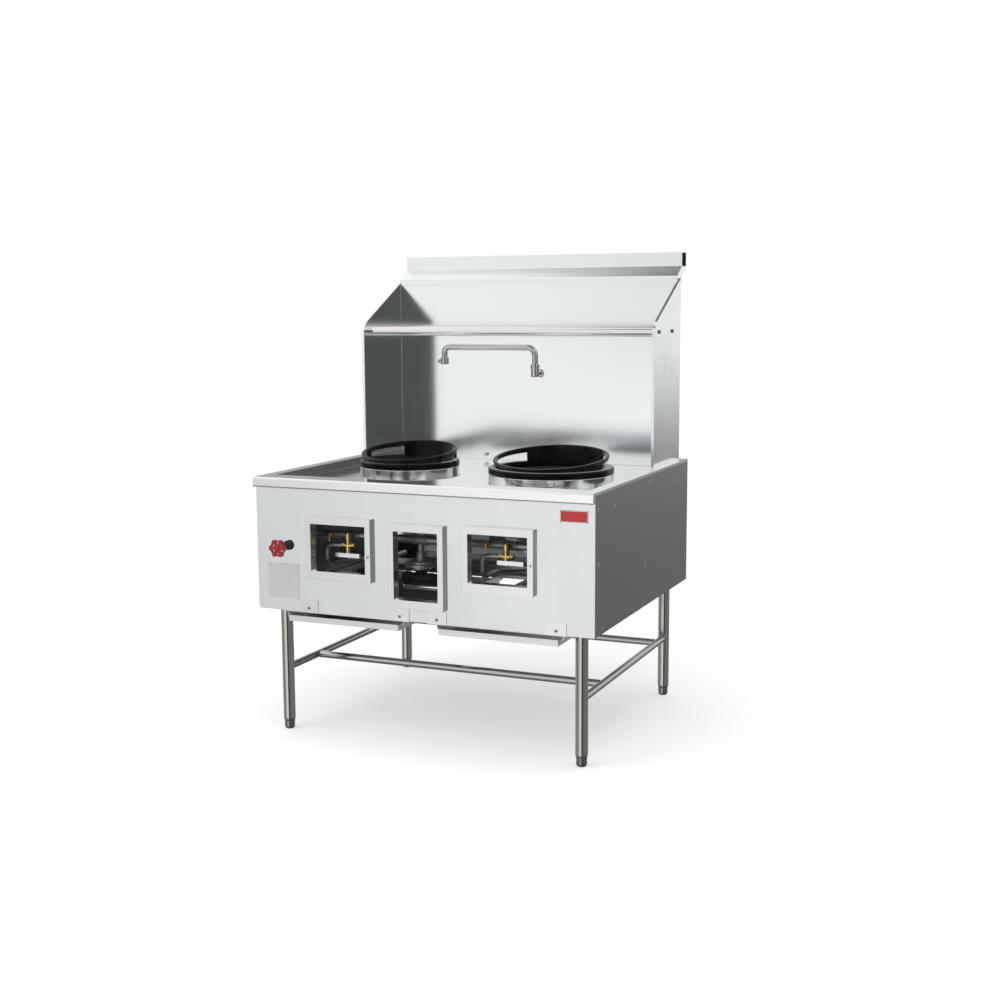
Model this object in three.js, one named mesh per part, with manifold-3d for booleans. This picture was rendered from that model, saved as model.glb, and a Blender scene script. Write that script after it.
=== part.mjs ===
// A two-burner gas wok range: a stainless cabinet on tube legs, with a recessed wet deck,
// two slanted cast-iron wok rings over jet burners, a backguard with side wings and a pipe
// rack, a swing spout, a water valve with a handwheel, and two drip trays that slide out.
//
// Millimetres, +Z up, +X to the right, +Y towards the back. While it is being built the
// front face of the apron is Y = 0; the finished group is moved so that the origin lies on
// the floor under the middle of the range.
import * as THREE from 'three';
import { mergeVertices } from 'three/addons/utils/BufferGeometryUtils.js';
import Module from 'manifold-3d';

const wasm = await Module();
wasm.setup();

// ---------------------------------------------------------------- driving dimensions

// Cabinet
const bodyWidth = 1219;
const bodyDepth = 1031;
const rimHeight = 893;
const bodyHeight = 455;
const sheet = 1.5;
const fit = 0.3;
const returnFlange = 20;

// Facets round each size of curve
const wellFacets = 30;
const drumFacets = 20;
const tubeFacets = 16;
const pipeFacets = 12;
const smallFacets = 8;

// Deck
const lipProud = 20;
const lipHeight = 34;
const ledgeWidth = 80;
const rimWidth = 40;
const rearRimWidth = 19;
const panDepth = 31;
const skirtDrop = 10;
const lipRadius = 6;
const gutterWidth = 46;
const gutterDepth = 20;
const gutterInset = 45;
const drainRadius = 19;
const drainLength = 45;

// Cooking stations: place across the width, outer radius of the collar, and how far the
// top bead of the ring stands inside the collar.
const stations = {
  left: { x: -250, collarRadius: 177, taper: 5 },
  right: { x: 306, collarRadius: 213, taper: 15 },
};
const ringBackLine = 622;
const collarHeight = 35;
const collarWall = 2;
const collarSeat = 12;

// Wok rings
const ringBase = 22;
const ringRise = 56;
const ringSlope = 0.113;
const ringWall = 9;
const ringBead = 8;
const ventTop = 42;
const ventFrom = -10;
const ventTo = 43;

// Chambers and burners
const linerGap = 4;
const linerWall = 38;
const linerTopWall = 12;
const linerHole = 84;
const linerSteep = 120;
const drumDrop = 205;
const drumWall = 2;
const drumFlange = 16;
const burnerRadius = 64;
const burnerHeight = 26;
const burnerRise = 42;
const neckRadius = 48;
const neckLength = 105;
const neckWall = 4;
const jetRadius = 5.5;
const jetHeight = 24;
const jetPitch = 26;
const armWidth = 24;
const armThick = 5;

// Legs and under-frame
const legRadius = 20.65;
const legWall = 1.6;
const legInsetX = 67;
const legInsetFront = 68;
const legInsetRear = 62;
const legSocketDepth = 48;
const socketWall = 3.5;
const footHeight = 38;
const footRadius = 17.5;
const footStem = 6;
const footTravel = 25;
const nutHeight = 16;
const railRadius = 12.7;
const railWall = 1.6;
const railHeight = 219;
const crossFront = 270;
const crossRearIn = 146;
const angleSize = 36;
const angleWall = 3;
const cornerPlate = 104;
const trayBeamIn = 169;
const trayStop = 2;
const stopHalf = 520;

// Heights below are measured down from the deck's rim where they are called a drop, and up
// from it where they are called a rise, so the whole cabinet goes with the rim.

// Windows in the apron: middle, drop to the bottom edge, width and height of each raised
// frame, and the height of the lever's stop above the bottom edge
const windowFrames = {
  left: { x: -278, drop: 332, width: 244, height: 211, stop: 88 },
  middle: { x: 8, drop: 406, width: 198, height: 278, stop: 0 },
  right: { x: 295.5, drop: 332, width: 244, height: 211, stop: 98 },
};
const frameProud = 35;
const frameSide = 20;
const frameTop = 25;
const frameBottom = 28;
const stopRadius = 5;
const stopLength = 13;

// Gas train
const manifoldRadius = 13.4;
const manifoldY = 122;
const manifoldDrop = 203;
const manifoldEnd = 445;
const teeProud = 4;
const teeHalf = 24;
const endBand = 26;
const hangerX = 410;
const hangerWidth = 24;
const hangerThick = 4;
const hangerFoot = 20;
const valveY = 80;
const valveX = { left: -301, right: 279 };
const valveTopDrop = 187;
const valveCapRadius = 8.5;
const valveStemRadius = 11;
const branchDrop = 233;
const branchFlats = 18;
const branchLeft = 25;
const branchRight = 26;
const leverLength = 102;
const leverWidth = 14;
const leverHeight = 15;
const leverDrop = { left: 273, right: 260 };
const leverReach = { left: 48, right: 66 };
const feedRadius = 9;
const feedReach = 58;
const feedRise = 22;
const pilotOffset = 75;
const pilotRadius = 7;
const pilotLength = 34;
const pilotTube = 3.2;
const regulatorX = -48;
const regulatorLength = 120;
const regulatorRadius = 19;
const regulatorDrop = 330;
const diaphragmRadius = 56;
const diaphragmDrop = 286;
const diaphragmHeight = 27;
const towerRadius = 15;
const towerTopDrop = 243;
const inletY = 96;
const inletDrop = 358;
const inletRadius = 8;
const inletX = 470;
const inletStart = -101;

// Water valve and handwheel
const waterX = -481;
const waterY = 34;
const waterDrop = 228;
const wheelProud = 77;
const wheelRadius = 32;
const wheelLobes = 6;
const wheelThick = 11;
const bonnetRadius = 14;
const rinseRadius = 6;
const rinseDrop = 115;
const jetX = -200;
const jetDrop = 10;

// Drip trays, each between its own runners
const trays = {
  left: { from: -497, to: -79, tabs: [-411, -68] },
  right: { from: 67, to: 485, tabs: [67, 481] },
};
const trayFront = 8;
const trayRearGap = 8;
const trayClearance = 17;
const trayDepth = 21;
const traySheet = 1.2;
const trayRim = 10;
const strap = 2;
const strapWidth = 26;
const tabWidth = 70;
const tabHeight = 42;
const tabScrewRise = 14;

// Backguard
const wingDepth = 319;
const wingRearGap = 9;
const kneeRise = 497;
const wingRise = 664;
const wingThick = 10;
const wingInset = 31.5;
const kneeRadius = 34;
const capRise = 646;
const capStrip = 26;
const capBack = 60;
const capUp = 38;
const capFascia = 50;
const capDeep = 54;
const stiffenerX = 285;
const stiffenerWidth = 44;
const stiffenerDepth = 13;

// Pipe rack
const rackRadius = 16.7;
const rackWall = 2;
const rackPlug = 12;
const weepRadius = 3;
const weepX = 500;
const rackRise = 474;
const rackFrontIn = 52;
const rackRearIn = 213;
const boltRadius = 4;
const boltHead = 6.5;
const boltHeadHeight = 4.5;

// Swing spout
const spoutX = 29;
const spoutOut = 55;
const spoutRise = 409;
const spoutRadius = 11.5;
const spoutReach = 380;
const spoutBend = 62;
const outletBend = 42;
const spoutBodyRadius = 17;
const spoutBodyRise = 298;
const spoutBodyHeight = 31;
const glandHeight = 17;
const outletRadius = 16;
const outletRise = 342;
const outletHeight = 27;
const spoutPin = 8;
const spoutPinLength = 20;
const shankRadius = 9;
const shankRise = 309.5;

// Plates and tab screws
const plateX = -508;
const plateDrop = 353;
const plateSize = 122;
const badgeX = 540.5;
const badgeDrop = 76;
const badgeWidth = 93;
const badgeHeight = 38;
const plateThick = 1.2;
const screwRadius = 4.5;
const screwHeight = 2.2;

// ---------------------------------------------------------------- derived places

const halfWidth = bodyWidth / 2;
const bodyBottom = rimHeight - bodyHeight;
const ledgeBack = ledgeWidth - lipProud;
const panFloor = rimHeight - panDepth;
const lipBottom = rimHeight - lipHeight;
const panHalf = halfWidth - rimWidth;
const panRear = bodyDepth - rearRimWidth;
const skirtBottom = rimHeight - skirtDrop;
const panelTop = skirtBottom - fit;
const wallInside = halfWidth - sheet;
const frameInside = wallInside - fit - sheet;
const backFace = panRear - fit - sheet;
const wingOuter = halfWidth - wingInset;
const wingInner = wingOuter - wingThick;
const legX = halfWidth - legInsetX;
const legRear = bodyDepth - legInsetRear;
const crossRear = bodyDepth - crossRearIn;
const legTop = bodyBottom + legSocketDepth;
const baseZ = bodyBottom + sheet;
const gutterFront = ledgeBack + gutterInset - gutterWidth / 2;
const trayBeam = bodyDepth - trayBeamIn;
const trayTop = bodyBottom - trayClearance;
const trayLength = trayBeam - trayRearGap - trayFront;
const trayRunnerWeb = trayRim + fit + strap;
const capFront = backFace - sheet;
const rearmost = capFront + capBack + capDeep;
const frontmost = -(wheelProud + wheelThick / 2 + 5);
const manifoldZ = rimHeight - manifoldDrop;
const branchZ = rimHeight - branchDrop;
const valveTop = rimHeight - valveTopDrop;
const regulatorZ = rimHeight - regulatorDrop;
const diaphragmZ = rimHeight - diaphragmDrop;
const towerTop = rimHeight - towerTopDrop;
const inletZ = rimHeight - inletDrop;
const waterZ = rimHeight - waterDrop;
const rinseZ = rimHeight - rinseDrop;
const wingRear = bodyDepth - wingRearGap;
const wingFront = wingRear - wingDepth;
const wingKnee = rimHeight + kneeRise;
const wingTop = rimHeight + wingRise;
const capBottom = rimHeight + capRise;
const rackZ = rimHeight + rackRise;
const rackFront = wingFront + rackFrontIn;
const rackRear = wingFront + rackRearIn;
const spoutY = backFace - spoutOut;
const spoutZ = rimHeight + spoutRise;
const spoutBodyBottom = rimHeight + spoutBodyRise;
const spoutBodyTop = spoutBodyBottom + spoutBodyHeight;
const outletBottom = rimHeight + outletRise;
const shankZ = rimHeight + shankRise;

// ---------------------------------------------------------------- materials

function finish(color, roughness, metalness) {
  return new THREE.MeshStandardMaterial({ color, roughness, metalness });
}

const brushedSteel = finish(0xd3d8da, 0.34, 1);
const darkSteel = finish(0x6f7573, 0.36, 1);
const polishedSteel = finish(0xe2e5e4, 0.18, 1);
const tubeSteel = finish(0xb9bdb9, 0.28, 1);
const galvanised = finish(0x9fa4a3, 0.5, 1);
const blackIron = finish(0x1b1d1e, 0.6, 0.4);
const brass = finish(0xb99654, 0.3, 1);
const firebrick = finish(0xb3a58e, 0.95, 0);
const redPaint = finish(0xa3161b, 0.4, 0.1);
const platePaint = finish(0xd8d7d2, 0.4, 0.6);

// ---------------------------------------------------------------- solids

// A closed three.js geometry as a solid that can be joined and cut.
function solid(geometry) {
  const bare = geometry.clone();
  bare.deleteAttribute('normal');
  bare.deleteAttribute('uv');
  const merged = mergeVertices(bare, 1e-4);
  return new wasm.Manifold(new wasm.Mesh({
    numProp: 3,
    vertProperties: Float32Array.from(merged.attributes.position.array),
    triVerts: Uint32Array.from(merged.index.array),
  }));
}

function geometryOf(manifold) {
  const mesh = manifold.getMesh();
  const geometry = new THREE.BufferGeometry();
  geometry.setAttribute('position', new THREE.BufferAttribute(Float32Array.from(mesh.vertProperties), 3));
  geometry.setIndex(new THREE.BufferAttribute(Uint32Array.from(mesh.triVerts), 1));
  geometry.computeVertexNormals();
  return geometry;
}

function join(...solids) {
  return solids.reduce((whole, piece) => whole.add(piece));
}

function cut(body, ...tools) {
  return tools.reduce((left, tool) => left.subtract(tool), body);
}

function box(x, y, z) {
  const geometry = new THREE.BoxGeometry(x[1] - x[0], y[1] - y[0], z[1] - z[0]);
  geometry.translate((x[0] + x[1]) / 2, (y[0] + y[1]) / 2, (z[0] + z[1]) / 2);
  return solid(geometry);
}

// A round rod, or a cone with a second radius, from one point to another.
function rod(radius, from, to, sides = 16, endRadius = radius) {
  const start = new THREE.Vector3(...from);
  const along = new THREE.Vector3(...to).sub(start);
  const length = along.length();
  const geometry = new THREE.CylinderGeometry(endRadius, radius, length, sides);
  geometry.translate(0, length / 2, 0);
  const turn = new THREE.Quaternion().setFromUnitVectors(new THREE.Vector3(0, 1, 0), along.normalize());
  geometry.applyQuaternion(turn);
  geometry.translate(...from);
  return solid(geometry);
}

// A solid of revolution about a vertical line: the profile is a closed ring of [radius, z]
// points, or an open one that starts and ends on the axis.
function turned(profile, x, y, sides) {
  const points = profile.map(([radius, z]) => new THREE.Vector2(radius, z));
  const onAxis = profile[0][0] === 0;
  if (!onAxis) points.push(points[0].clone());
  const geometry = new THREE.LatheGeometry(points, sides);
  geometry.rotateX(Math.PI / 2);
  geometry.translate(x, y, 0);
  const body = solid(geometry);
  return body;
}

// An outline extruded along an axis. Outline points are (y, z) for X, (x, z) for Y and
// (x, y) for Z.
function extruded(outline, axis, from, to) {
  const shape = outline instanceof THREE.Shape ? outline : new THREE.Shape(outline);
  const geometry = new THREE.ExtrudeGeometry(shape, {
    depth: to - from,
    bevelEnabled: false,
    curveSegments: 6,
  });
  const place = new THREE.Matrix4();
  const x = new THREE.Vector3(1, 0, 0);
  const y = new THREE.Vector3(0, 1, 0);
  const z = new THREE.Vector3(0, 0, 1);
  if (axis === 'x') place.makeBasis(y, z, x).setPosition(from, 0, 0);
  if (axis === 'y') place.makeBasis(x, z, y.clone().negate()).setPosition(0, to, 0);
  if (axis === 'z') place.makeBasis(x, y, z).setPosition(0, 0, from);
  geometry.applyMatrix4(place);
  return solid(geometry);
}

// Rounds the inner corners of a path of [u, v] points.
function rounded(path, radius, steps = 4) {
  const smooth = [path[0]];
  for (let i = 1; i < path.length - 1; i += 1) {
    const corner = new THREE.Vector2(...path[i]);
    const before = new THREE.Vector2(...path[i - 1]).sub(corner);
    const after = new THREE.Vector2(...path[i + 1]).sub(corner);
    const reach = Math.min(radius, before.length() * 0.45, after.length() * 0.45);
    const start = corner.clone().addScaledVector(before.normalize(), reach);
    const end = corner.clone().addScaledVector(after.normalize(), reach);
    const bend = new THREE.QuadraticBezierCurve(start, corner, end);
    bend.getPoints(steps).forEach((point) => smooth.push([point.x, point.y]));
  }
  smooth.push(path[path.length - 1]);
  return smooth;
}

// The outline of a sheet bent along a path: the path is one skin, and the other skin lies
// one thickness to its right.
function bentSheet(path, thickness) {
  const skin = path.map(([u, v]) => new THREE.Vector2(u, v));
  const rightOf = (a, b) => {
    const along = b.clone().sub(a).normalize();
    return new THREE.Vector2(along.y, -along.x);
  };
  const inner = skin.map((point, i) => {
    const last = skin.length - 1;
    const before = i > 0 ? rightOf(skin[i - 1], point) : null;
    const after = i < last ? rightOf(point, skin[i + 1]) : null;
    const one = before ?? after;
    const other = after ?? before;
    const mitre = one.clone().add(other).normalize();
    return point.clone().addScaledVector(mitre, thickness / mitre.dot(one));
  });
  return new THREE.Shape([...skin, ...inner.reverse()]);
}

// A tube's centre line: straight runs joined by bends, with its own points and no others.
// The bends share one size, or each has its own in a list.
class Run extends THREE.Curve {
  constructor(corners, bendSize, steps = 4) {
    super();
    const points = corners.map((corner) => new THREE.Vector3(...corner));
    this.nodes = [points[0]];
    for (let i = 1; i < points.length - 1; i += 1) {
      const before = points[i - 1].clone().sub(points[i]);
      const after = points[i + 1].clone().sub(points[i]);
      const size = Array.isArray(bendSize) ? bendSize[i - 1] : bendSize;
      const reach = Math.min(size, before.length() * 0.45, after.length() * 0.45);
      const start = points[i].clone().addScaledVector(before.normalize(), reach);
      const end = points[i].clone().addScaledVector(after.normalize(), reach);
      const bend = new THREE.QuadraticBezierCurve3(start, points[i], end);
      this.nodes.push(...bend.getPoints(steps));
    }
    this.nodes.push(points[points.length - 1]);
  }

  getPoint(t) {
    const place = t * (this.nodes.length - 1);
    const i = Math.min(Math.floor(place), this.nodes.length - 2);
    return this.nodes[i].clone().lerp(this.nodes[i + 1], place - i);
  }

  getPointAt(u) {
    return this.getPoint(u);
  }

  getTangentAt(u) {
    const last = this.nodes.length - 1;
    const i = Math.round(u * last);
    const before = this.nodes[Math.max(i - 1, 0)];
    const after = this.nodes[Math.min(i + 1, last)];
    const here = this.nodes[i];
    const into = here.clone().sub(before).normalize();
    const outOf = after.clone().sub(here).normalize();
    return into.add(outOf).normalize();
  }

  getSpacedPoints() {
    return this.nodes.map((node) => node.clone());
  }
}

function bentTube(radius, corners, bendSize, sides = 8, steps = 4) {
  const path = new Run(corners, bendSize, steps);
  const section = new THREE.Shape();
  const flats = Array.from({ length: sides }, (_, i) => {
    const angle = (2 * Math.PI * i) / sides;
    return new THREE.Vector2(radius * Math.cos(angle), radius * Math.sin(angle));
  });
  section.setFromPoints(flats);
  return solid(new THREE.ExtrudeGeometry(section, {
    steps: path.nodes.length - 1,
    extrudePath: path,
  }));
}

// A regular prism: a hexagon by default, its flats a given distance apart.
function hexNut(acrossFlats, from, to) {
  return rod(acrossFlats / 2 / Math.cos(Math.PI / 6), from, to, 6);
}

const range = new THREE.Group();

function part(name, material, body) {
  const mesh = new THREE.Mesh(geometryOf(body), material);
  mesh.name = name;
  range.add(mesh);
}

function bothSides(make) {
  make('left', -1);
  make('right', 1);
}

// ---------------------------------------------------------------- legs and under-frame

const legPlaces = {
  front_left: [-legX, legInsetFront],
  front_right: [legX, legInsetFront],
  rear_left: [-legX, legRear],
  rear_right: [legX, legRear],
};

// A tube with a nut pressed into its lower end, which the foot's stem screws into.
function leg(x, y) {
  const bottom = footHeight + fit;
  const bore = legRadius - legWall;
  return turned([
    [bore, legTop - fit],
    [bore, bottom + nutHeight],
    [footStem + fit, bottom + nutHeight],
    [footStem + fit, bottom],
    [legRadius, bottom],
    [legRadius, legTop - fit],
  ], x, y, tubeFacets);
}

// A bullet foot: a rounded toe, a shoulder that seats under the leg, and a long stem.
function foot(x, y) {
  const stemTop = footHeight + fit + nutHeight + footTravel + 8;
  const toe = footRadius * 0.72;
  return turned([
    [0, 0],
    [toe, 0],
    [footRadius, 7],
    [footRadius, footHeight - 9],
    [legRadius - 1, footHeight - 6],
    [legRadius - 1, footHeight],
    [footStem, footHeight],
    [footStem, stemTop],
    [0, stemTop],
  ], x, y, pipeFacets);
}

for (const [place, [x, y]] of Object.entries(legPlaces)) {
  part(`leg_${place}`, tubeSteel, leg(x, y));
  part(`foot_${place}`, tubeSteel, foot(x, y));
}

// A stretcher tube, its ends coped to fit round what they meet.
function stretcher(from, to, ...coping) {
  const along = new THREE.Vector3(...to).sub(new THREE.Vector3(...from)).normalize();
  const start = new THREE.Vector3(...from).addScaledVector(along, -1).toArray();
  const end = new THREE.Vector3(...to).addScaledVector(along, 1).toArray();
  const tube = rod(railRadius, from, to, pipeFacets);
  const bore = rod(railRadius - railWall, start, end, pipeFacets);
  return cut(tube, bore, ...coping);
}

const copeTall = [railHeight - 2 * railRadius, railHeight + 2 * railRadius];

function legCope(x, y) {
  return rod(legRadius + fit, [x, y, copeTall[0]], [x, y, copeTall[1]], tubeFacets);
}

bothSides((side, sign) => {
  const x = sign * legX;
  part(`side_stretcher_${side}`, tubeSteel, stretcher(
    [x, legInsetFront, railHeight],
    [x, legRear, railHeight],
    legCope(x, legInsetFront),
    legCope(x, legRear),
  ));
});

for (const [place, y] of [['front', crossFront], ['rear', crossRear]]) {
  const clear = 3 * railRadius;
  const saddle = (x) => rod(railRadius + fit, [x, y - clear, railHeight], [x, y + clear, railHeight], pipeFacets);
  part(`cross_bar_${place}`, tubeSteel, stretcher(
    [-legX, y, railHeight],
    [legX, y, railHeight],
    saddle(-legX),
    saddle(legX),
  ));
}

// ---------------------------------------------------------------- base frame

// Angle iron round the foot of the cabinet, with a plate and a leg socket in each corner
// and a beam that the tray runners hang from, whose web comes down behind the trays.
function baseFrame() {
  const front = sheet + fit;
  const rear = bodyDepth - sheet - fit;
  const half = frameInside;
  const z = baseZ;
  const upright = cut(
    box([-half, half], [front, rear], [z, z + angleSize]),
    box([-half + angleWall, half - angleWall], [front + angleWall, rear - angleWall], [z - 1, z + angleSize + 1]),
  );
  const flat = cut(
    box([-half, half], [front, rear], [z, z + angleWall]),
    box([-half + angleSize, half - angleSize], [front + angleSize, rear - angleSize], [z - 1, z + angleWall + 1]),
  );
  const beam = box([-half + 1, half - 1], [trayBeam - angleSize, trayBeam], [z, z + angleWall]);
  const beamWeb = box([-half + 1, half - 1], [trayBeam - angleWall, trayBeam], [z, z + angleSize]);
  const stop = box([-stopHalf, stopHalf], [trayBeam - angleWall, trayBeam], [trayTop + trayStop, z + 1]);
  let frame = join(upright, flat, beam, beamWeb, stop);
  for (const [x, y] of Object.values(legPlaces)) {
    const towardsX = Math.sign(x);
    const edgeX = towardsX * (half - 1);
    const innerX = edgeX - towardsX * cornerPlate;
    const isFront = y < bodyDepth / 2;
    const edgeY = isFront ? front + 1 : rear - 1;
    const innerY = isFront ? edgeY + cornerPlate : edgeY - cornerPlate;
    const plate = box(
      [Math.min(edgeX, innerX), Math.max(edgeX, innerX)],
      [Math.min(edgeY, innerY), Math.max(edgeY, innerY)],
      [z, z + angleWall],
    );
    const socket = rod(legRadius + fit + socketWall, [x, y, z], [x, y, legTop + socketWall], tubeFacets);
    frame = join(frame, plate, socket);
    frame = cut(frame, rod(legRadius + fit, [x, y, z - 1], [x, y, legTop], tubeFacets));
  }
  return frame;
}

part('base_frame', galvanised, baseFrame());

// ---------------------------------------------------------------- cabinet panels

function windowBottom(window) {
  return rimHeight - window.drop;
}

function windowOpening(window) {
  const bottom = windowBottom(window);
  return {
    x: [window.x - window.width / 2 + frameSide, window.x + window.width / 2 - frameSide],
    z: [bottom + frameBottom, bottom + window.height - frameTop],
  };
}

function widened([low, high], by) {
  return [low - by, high + by];
}

// The apron: one sheet with returns on three edges and a cut-out behind each window frame.
function frontApron() {
  const top = rimHeight - sheet - fit;
  const inside = wallInside - fit;
  const plate = join(
    box([-halfWidth, halfWidth], [0, sheet], [bodyBottom, panelTop]),
    box([-inside, inside], [0, sheet], [bodyBottom, top]),
  );
  const bottomReturn = box([-frameInside, frameInside], [0, returnFlange], [bodyBottom, bodyBottom + sheet]);
  const sideReturn = (sign) => {
    const outer = sign * (wallInside - fit);
    const inner = sign * frameInside;
    const x = [Math.min(outer, inner), Math.max(outer, inner)];
    return box(x, [0, returnFlange], [baseZ + angleSize + fit, lipBottom]);
  };
  const body = join(plate, bottomReturn, sideReturn(-1), sideReturn(1));
  const holes = Object.values(windowFrames).map((window) => {
    const { x, z } = windowOpening(window);
    return box(widened(x, sheet), [-1, sheet + 1], widened(z, sheet));
  });
  const stem = rod(bonnetRadius + fit, [waterX, -1, waterZ], [waterX, sheet + 1, waterZ], pipeFacets);
  return cut(body, ...holes, stem);
}

part('front_apron', brushedSteel, frontApron());

bothSides((side, sign) => {
  const span = (near, far) => [Math.min(sign * near, sign * far), Math.max(sign * near, sign * far)];
  const y = [sheet, bodyDepth];
  const panel = box(span(wallInside, halfWidth), y, [bodyBottom, panelTop]);
  const topReturn = box(
    span(halfWidth - returnFlange, halfWidth),
    [ledgeBack, bodyDepth - returnFlange],
    [panelTop - sheet, panelTop],
  );
  const bottomReturn = box(span(frameInside, halfWidth), y, [bodyBottom, bodyBottom + sheet]);
  const nook = box(span(0, wallInside), [0, returnFlange + fit], [bodyBottom - 1, bodyBottom + sheet + 1]);
  part(`side_panel_${side}`, sign < 0 ? brushedSteel : darkSteel, cut(join(panel, topReturn, bottomReturn), nook));
});

// The rear panel covers the back down to the base frame, with a hole for the inlet pipe.
function rearPanel() {
  const half = wallInside - fit;
  const plate = box([-half, half], [bodyDepth - sheet, bodyDepth], [baseZ + fit, panelTop]);
  const inlet = rod(inletRadius + 2, [inletX, bodyDepth - 40, inletZ], [inletX, bodyDepth + 1, inletZ], pipeFacets);
  return cut(plate, inlet);
}

part('rear_panel', brushedSteel, rearPanel());

// ---------------------------------------------------------------- window frames

// A raised frame folded from one sheet: outer wall, face border and inner reveal, open at
// the back where it stands on the apron. The two outer frames carry a stop for the lever.
function windowFrame(window) {
  const outerX = [window.x - window.width / 2, window.x + window.width / 2];
  const outerZ = [windowBottom(window), windowBottom(window) + window.height];
  const { x, z } = windowOpening(window);
  const block = box(outerX, [-frameProud, 0], outerZ);
  const cavity = box(widened(outerX, -sheet), [-frameProud + sheet, 1], widened(outerZ, -sheet));
  const reveal = box(widened(x, sheet), [-frameProud, 0], widened(z, sheet));
  const opening = box(x, [-frameProud - 1, 1], z);
  let frame = cut(join(cut(block, cavity), reveal), opening);
  if (window.stop > 0) {
    const stopX = x[1] + frameSide / 2;
    const stopZ = outerZ[0] + window.stop;
    const face = -frameProud;
    frame = join(frame, rod(stopRadius, [stopX, face + sheet, stopZ], [stopX, face - stopLength, stopZ], smallFacets));
  }
  return frame;
}

for (const [place, window] of Object.entries(windowFrames)) {
  part(`window_frame_${place}`, polishedSteel, windowFrame(window));
}

// ---------------------------------------------------------------- deck

// The centre of a station lies so that both rings end on one line at the back.
function stationCentre(station) {
  return [station.x, ringBackLine - station.collarRadius];
}

function linerRadius(station) {
  return station.collarRadius - collarWall - linerGap;
}

// The pan under the rims, the rolled front ledge closed at its ends, and a gutter with a
// drain.
function deckPan() {
  const half = halfWidth;
  const under = rimHeight - sheet;
  const lipPath = [
    [-fit, lipBottom],
    [-lipProud, lipBottom],
    [-lipProud, rimHeight],
    [ledgeBack, rimHeight],
  ];
  const ledge = extruded(bentSheet(rounded(lipPath, lipRadius), sheet), 'x', -half, half);
  const rims = box([-half, half], [ledgeBack - 20, bodyDepth], [under, rimHeight]);
  const ledgeEnd = (sign) => {
    const x = [Math.min(sign * wallInside, sign * half), Math.max(sign * wallInside, sign * half)];
    return join(
      box(x, [-lipProud + 1, ledgeBack + 1], [skirtBottom, rimHeight - 1]),
      box(x, [-lipProud + 1, -fit], [lipBottom, rimHeight - 1]),
    );
  };
  const skirtBlock = box([-half, half], [ledgeBack, bodyDepth], [skirtBottom, rimHeight]);
  const skirtCore = box([-wallInside, wallInside], [ledgeBack - 1, bodyDepth - sheet], [skirtBottom - 1, under]);
  const inside = box([-panHalf, panHalf], [ledgeBack, panRear], [panFloor, rimHeight + 1]);
  const tub = box(widened([-panHalf, panHalf], sheet), widened([ledgeBack, panRear], sheet), [panFloor - sheet, rimHeight]);
  const gutterX = [-panHalf + gutterInset, panHalf - gutterInset];
  const gutterY = [gutterFront, gutterFront + gutterWidth];
  const gutterTub = box(widened(gutterX, sheet), widened(gutterY, sheet), [panFloor - gutterDepth - sheet, panFloor]);
  const gutter = box(gutterX, gutterY, [panFloor - gutterDepth, panFloor + 1]);
  const drainX = gutterX[0] + gutterWidth / 2;
  const drainY = gutterFront + gutterWidth / 2;
  const drainTop = panFloor - gutterDepth;
  const drainEnd = [drainX, drainY, drainTop - drainLength];
  const nipple = rod(drainRadius + sheet, [drainX, drainY, drainTop - 1], drainEnd, pipeFacets);
  const drain = rod(drainRadius, [drainX, drainY, drainTop + 1], [drainX, drainY, drainTop - drainLength - 1], pipeFacets);
  const wells = Object.values(stations).map((station) => {
    const [x, y] = stationCentre(station);
    return rod(linerRadius(station) + fit, [x, y, panFloor - sheet - 1], [x, y, panFloor + 1], wellFacets);
  });
  const jetHole = rod(rinseRadius + fit, [jetX, panRear - 1, rimHeight - jetDrop], [jetX, panRear + sheet + 1, rimHeight - jetDrop], smallFacets);
  const shell = join(ledge, ledgeEnd(-1), ledgeEnd(1), rims, cut(skirtBlock, skirtCore), tub, gutterTub, nipple);
  return cut(shell, inside, gutter, drain, jetHole, ...wells);
}

part('deck_pan', brushedSteel, deckPan());

// ---------------------------------------------------------------- cooking stations

// The bright collar welded round each well: a wall, and an inward seat for the ring.
function collar(station) {
  const [x, y] = stationCentre(station);
  const outer = station.collarRadius;
  const inner = outer - collarWall;
  const top = panFloor + collarHeight;
  const seat = outer - collarSeat;
  return turned([
    [inner, panFloor],
    [outer, panFloor],
    [outer, top],
    [seat, top],
    [seat, top - collarWall],
    [inner, top - collarWall],
  ], x, y, wellFacets);
}

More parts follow.
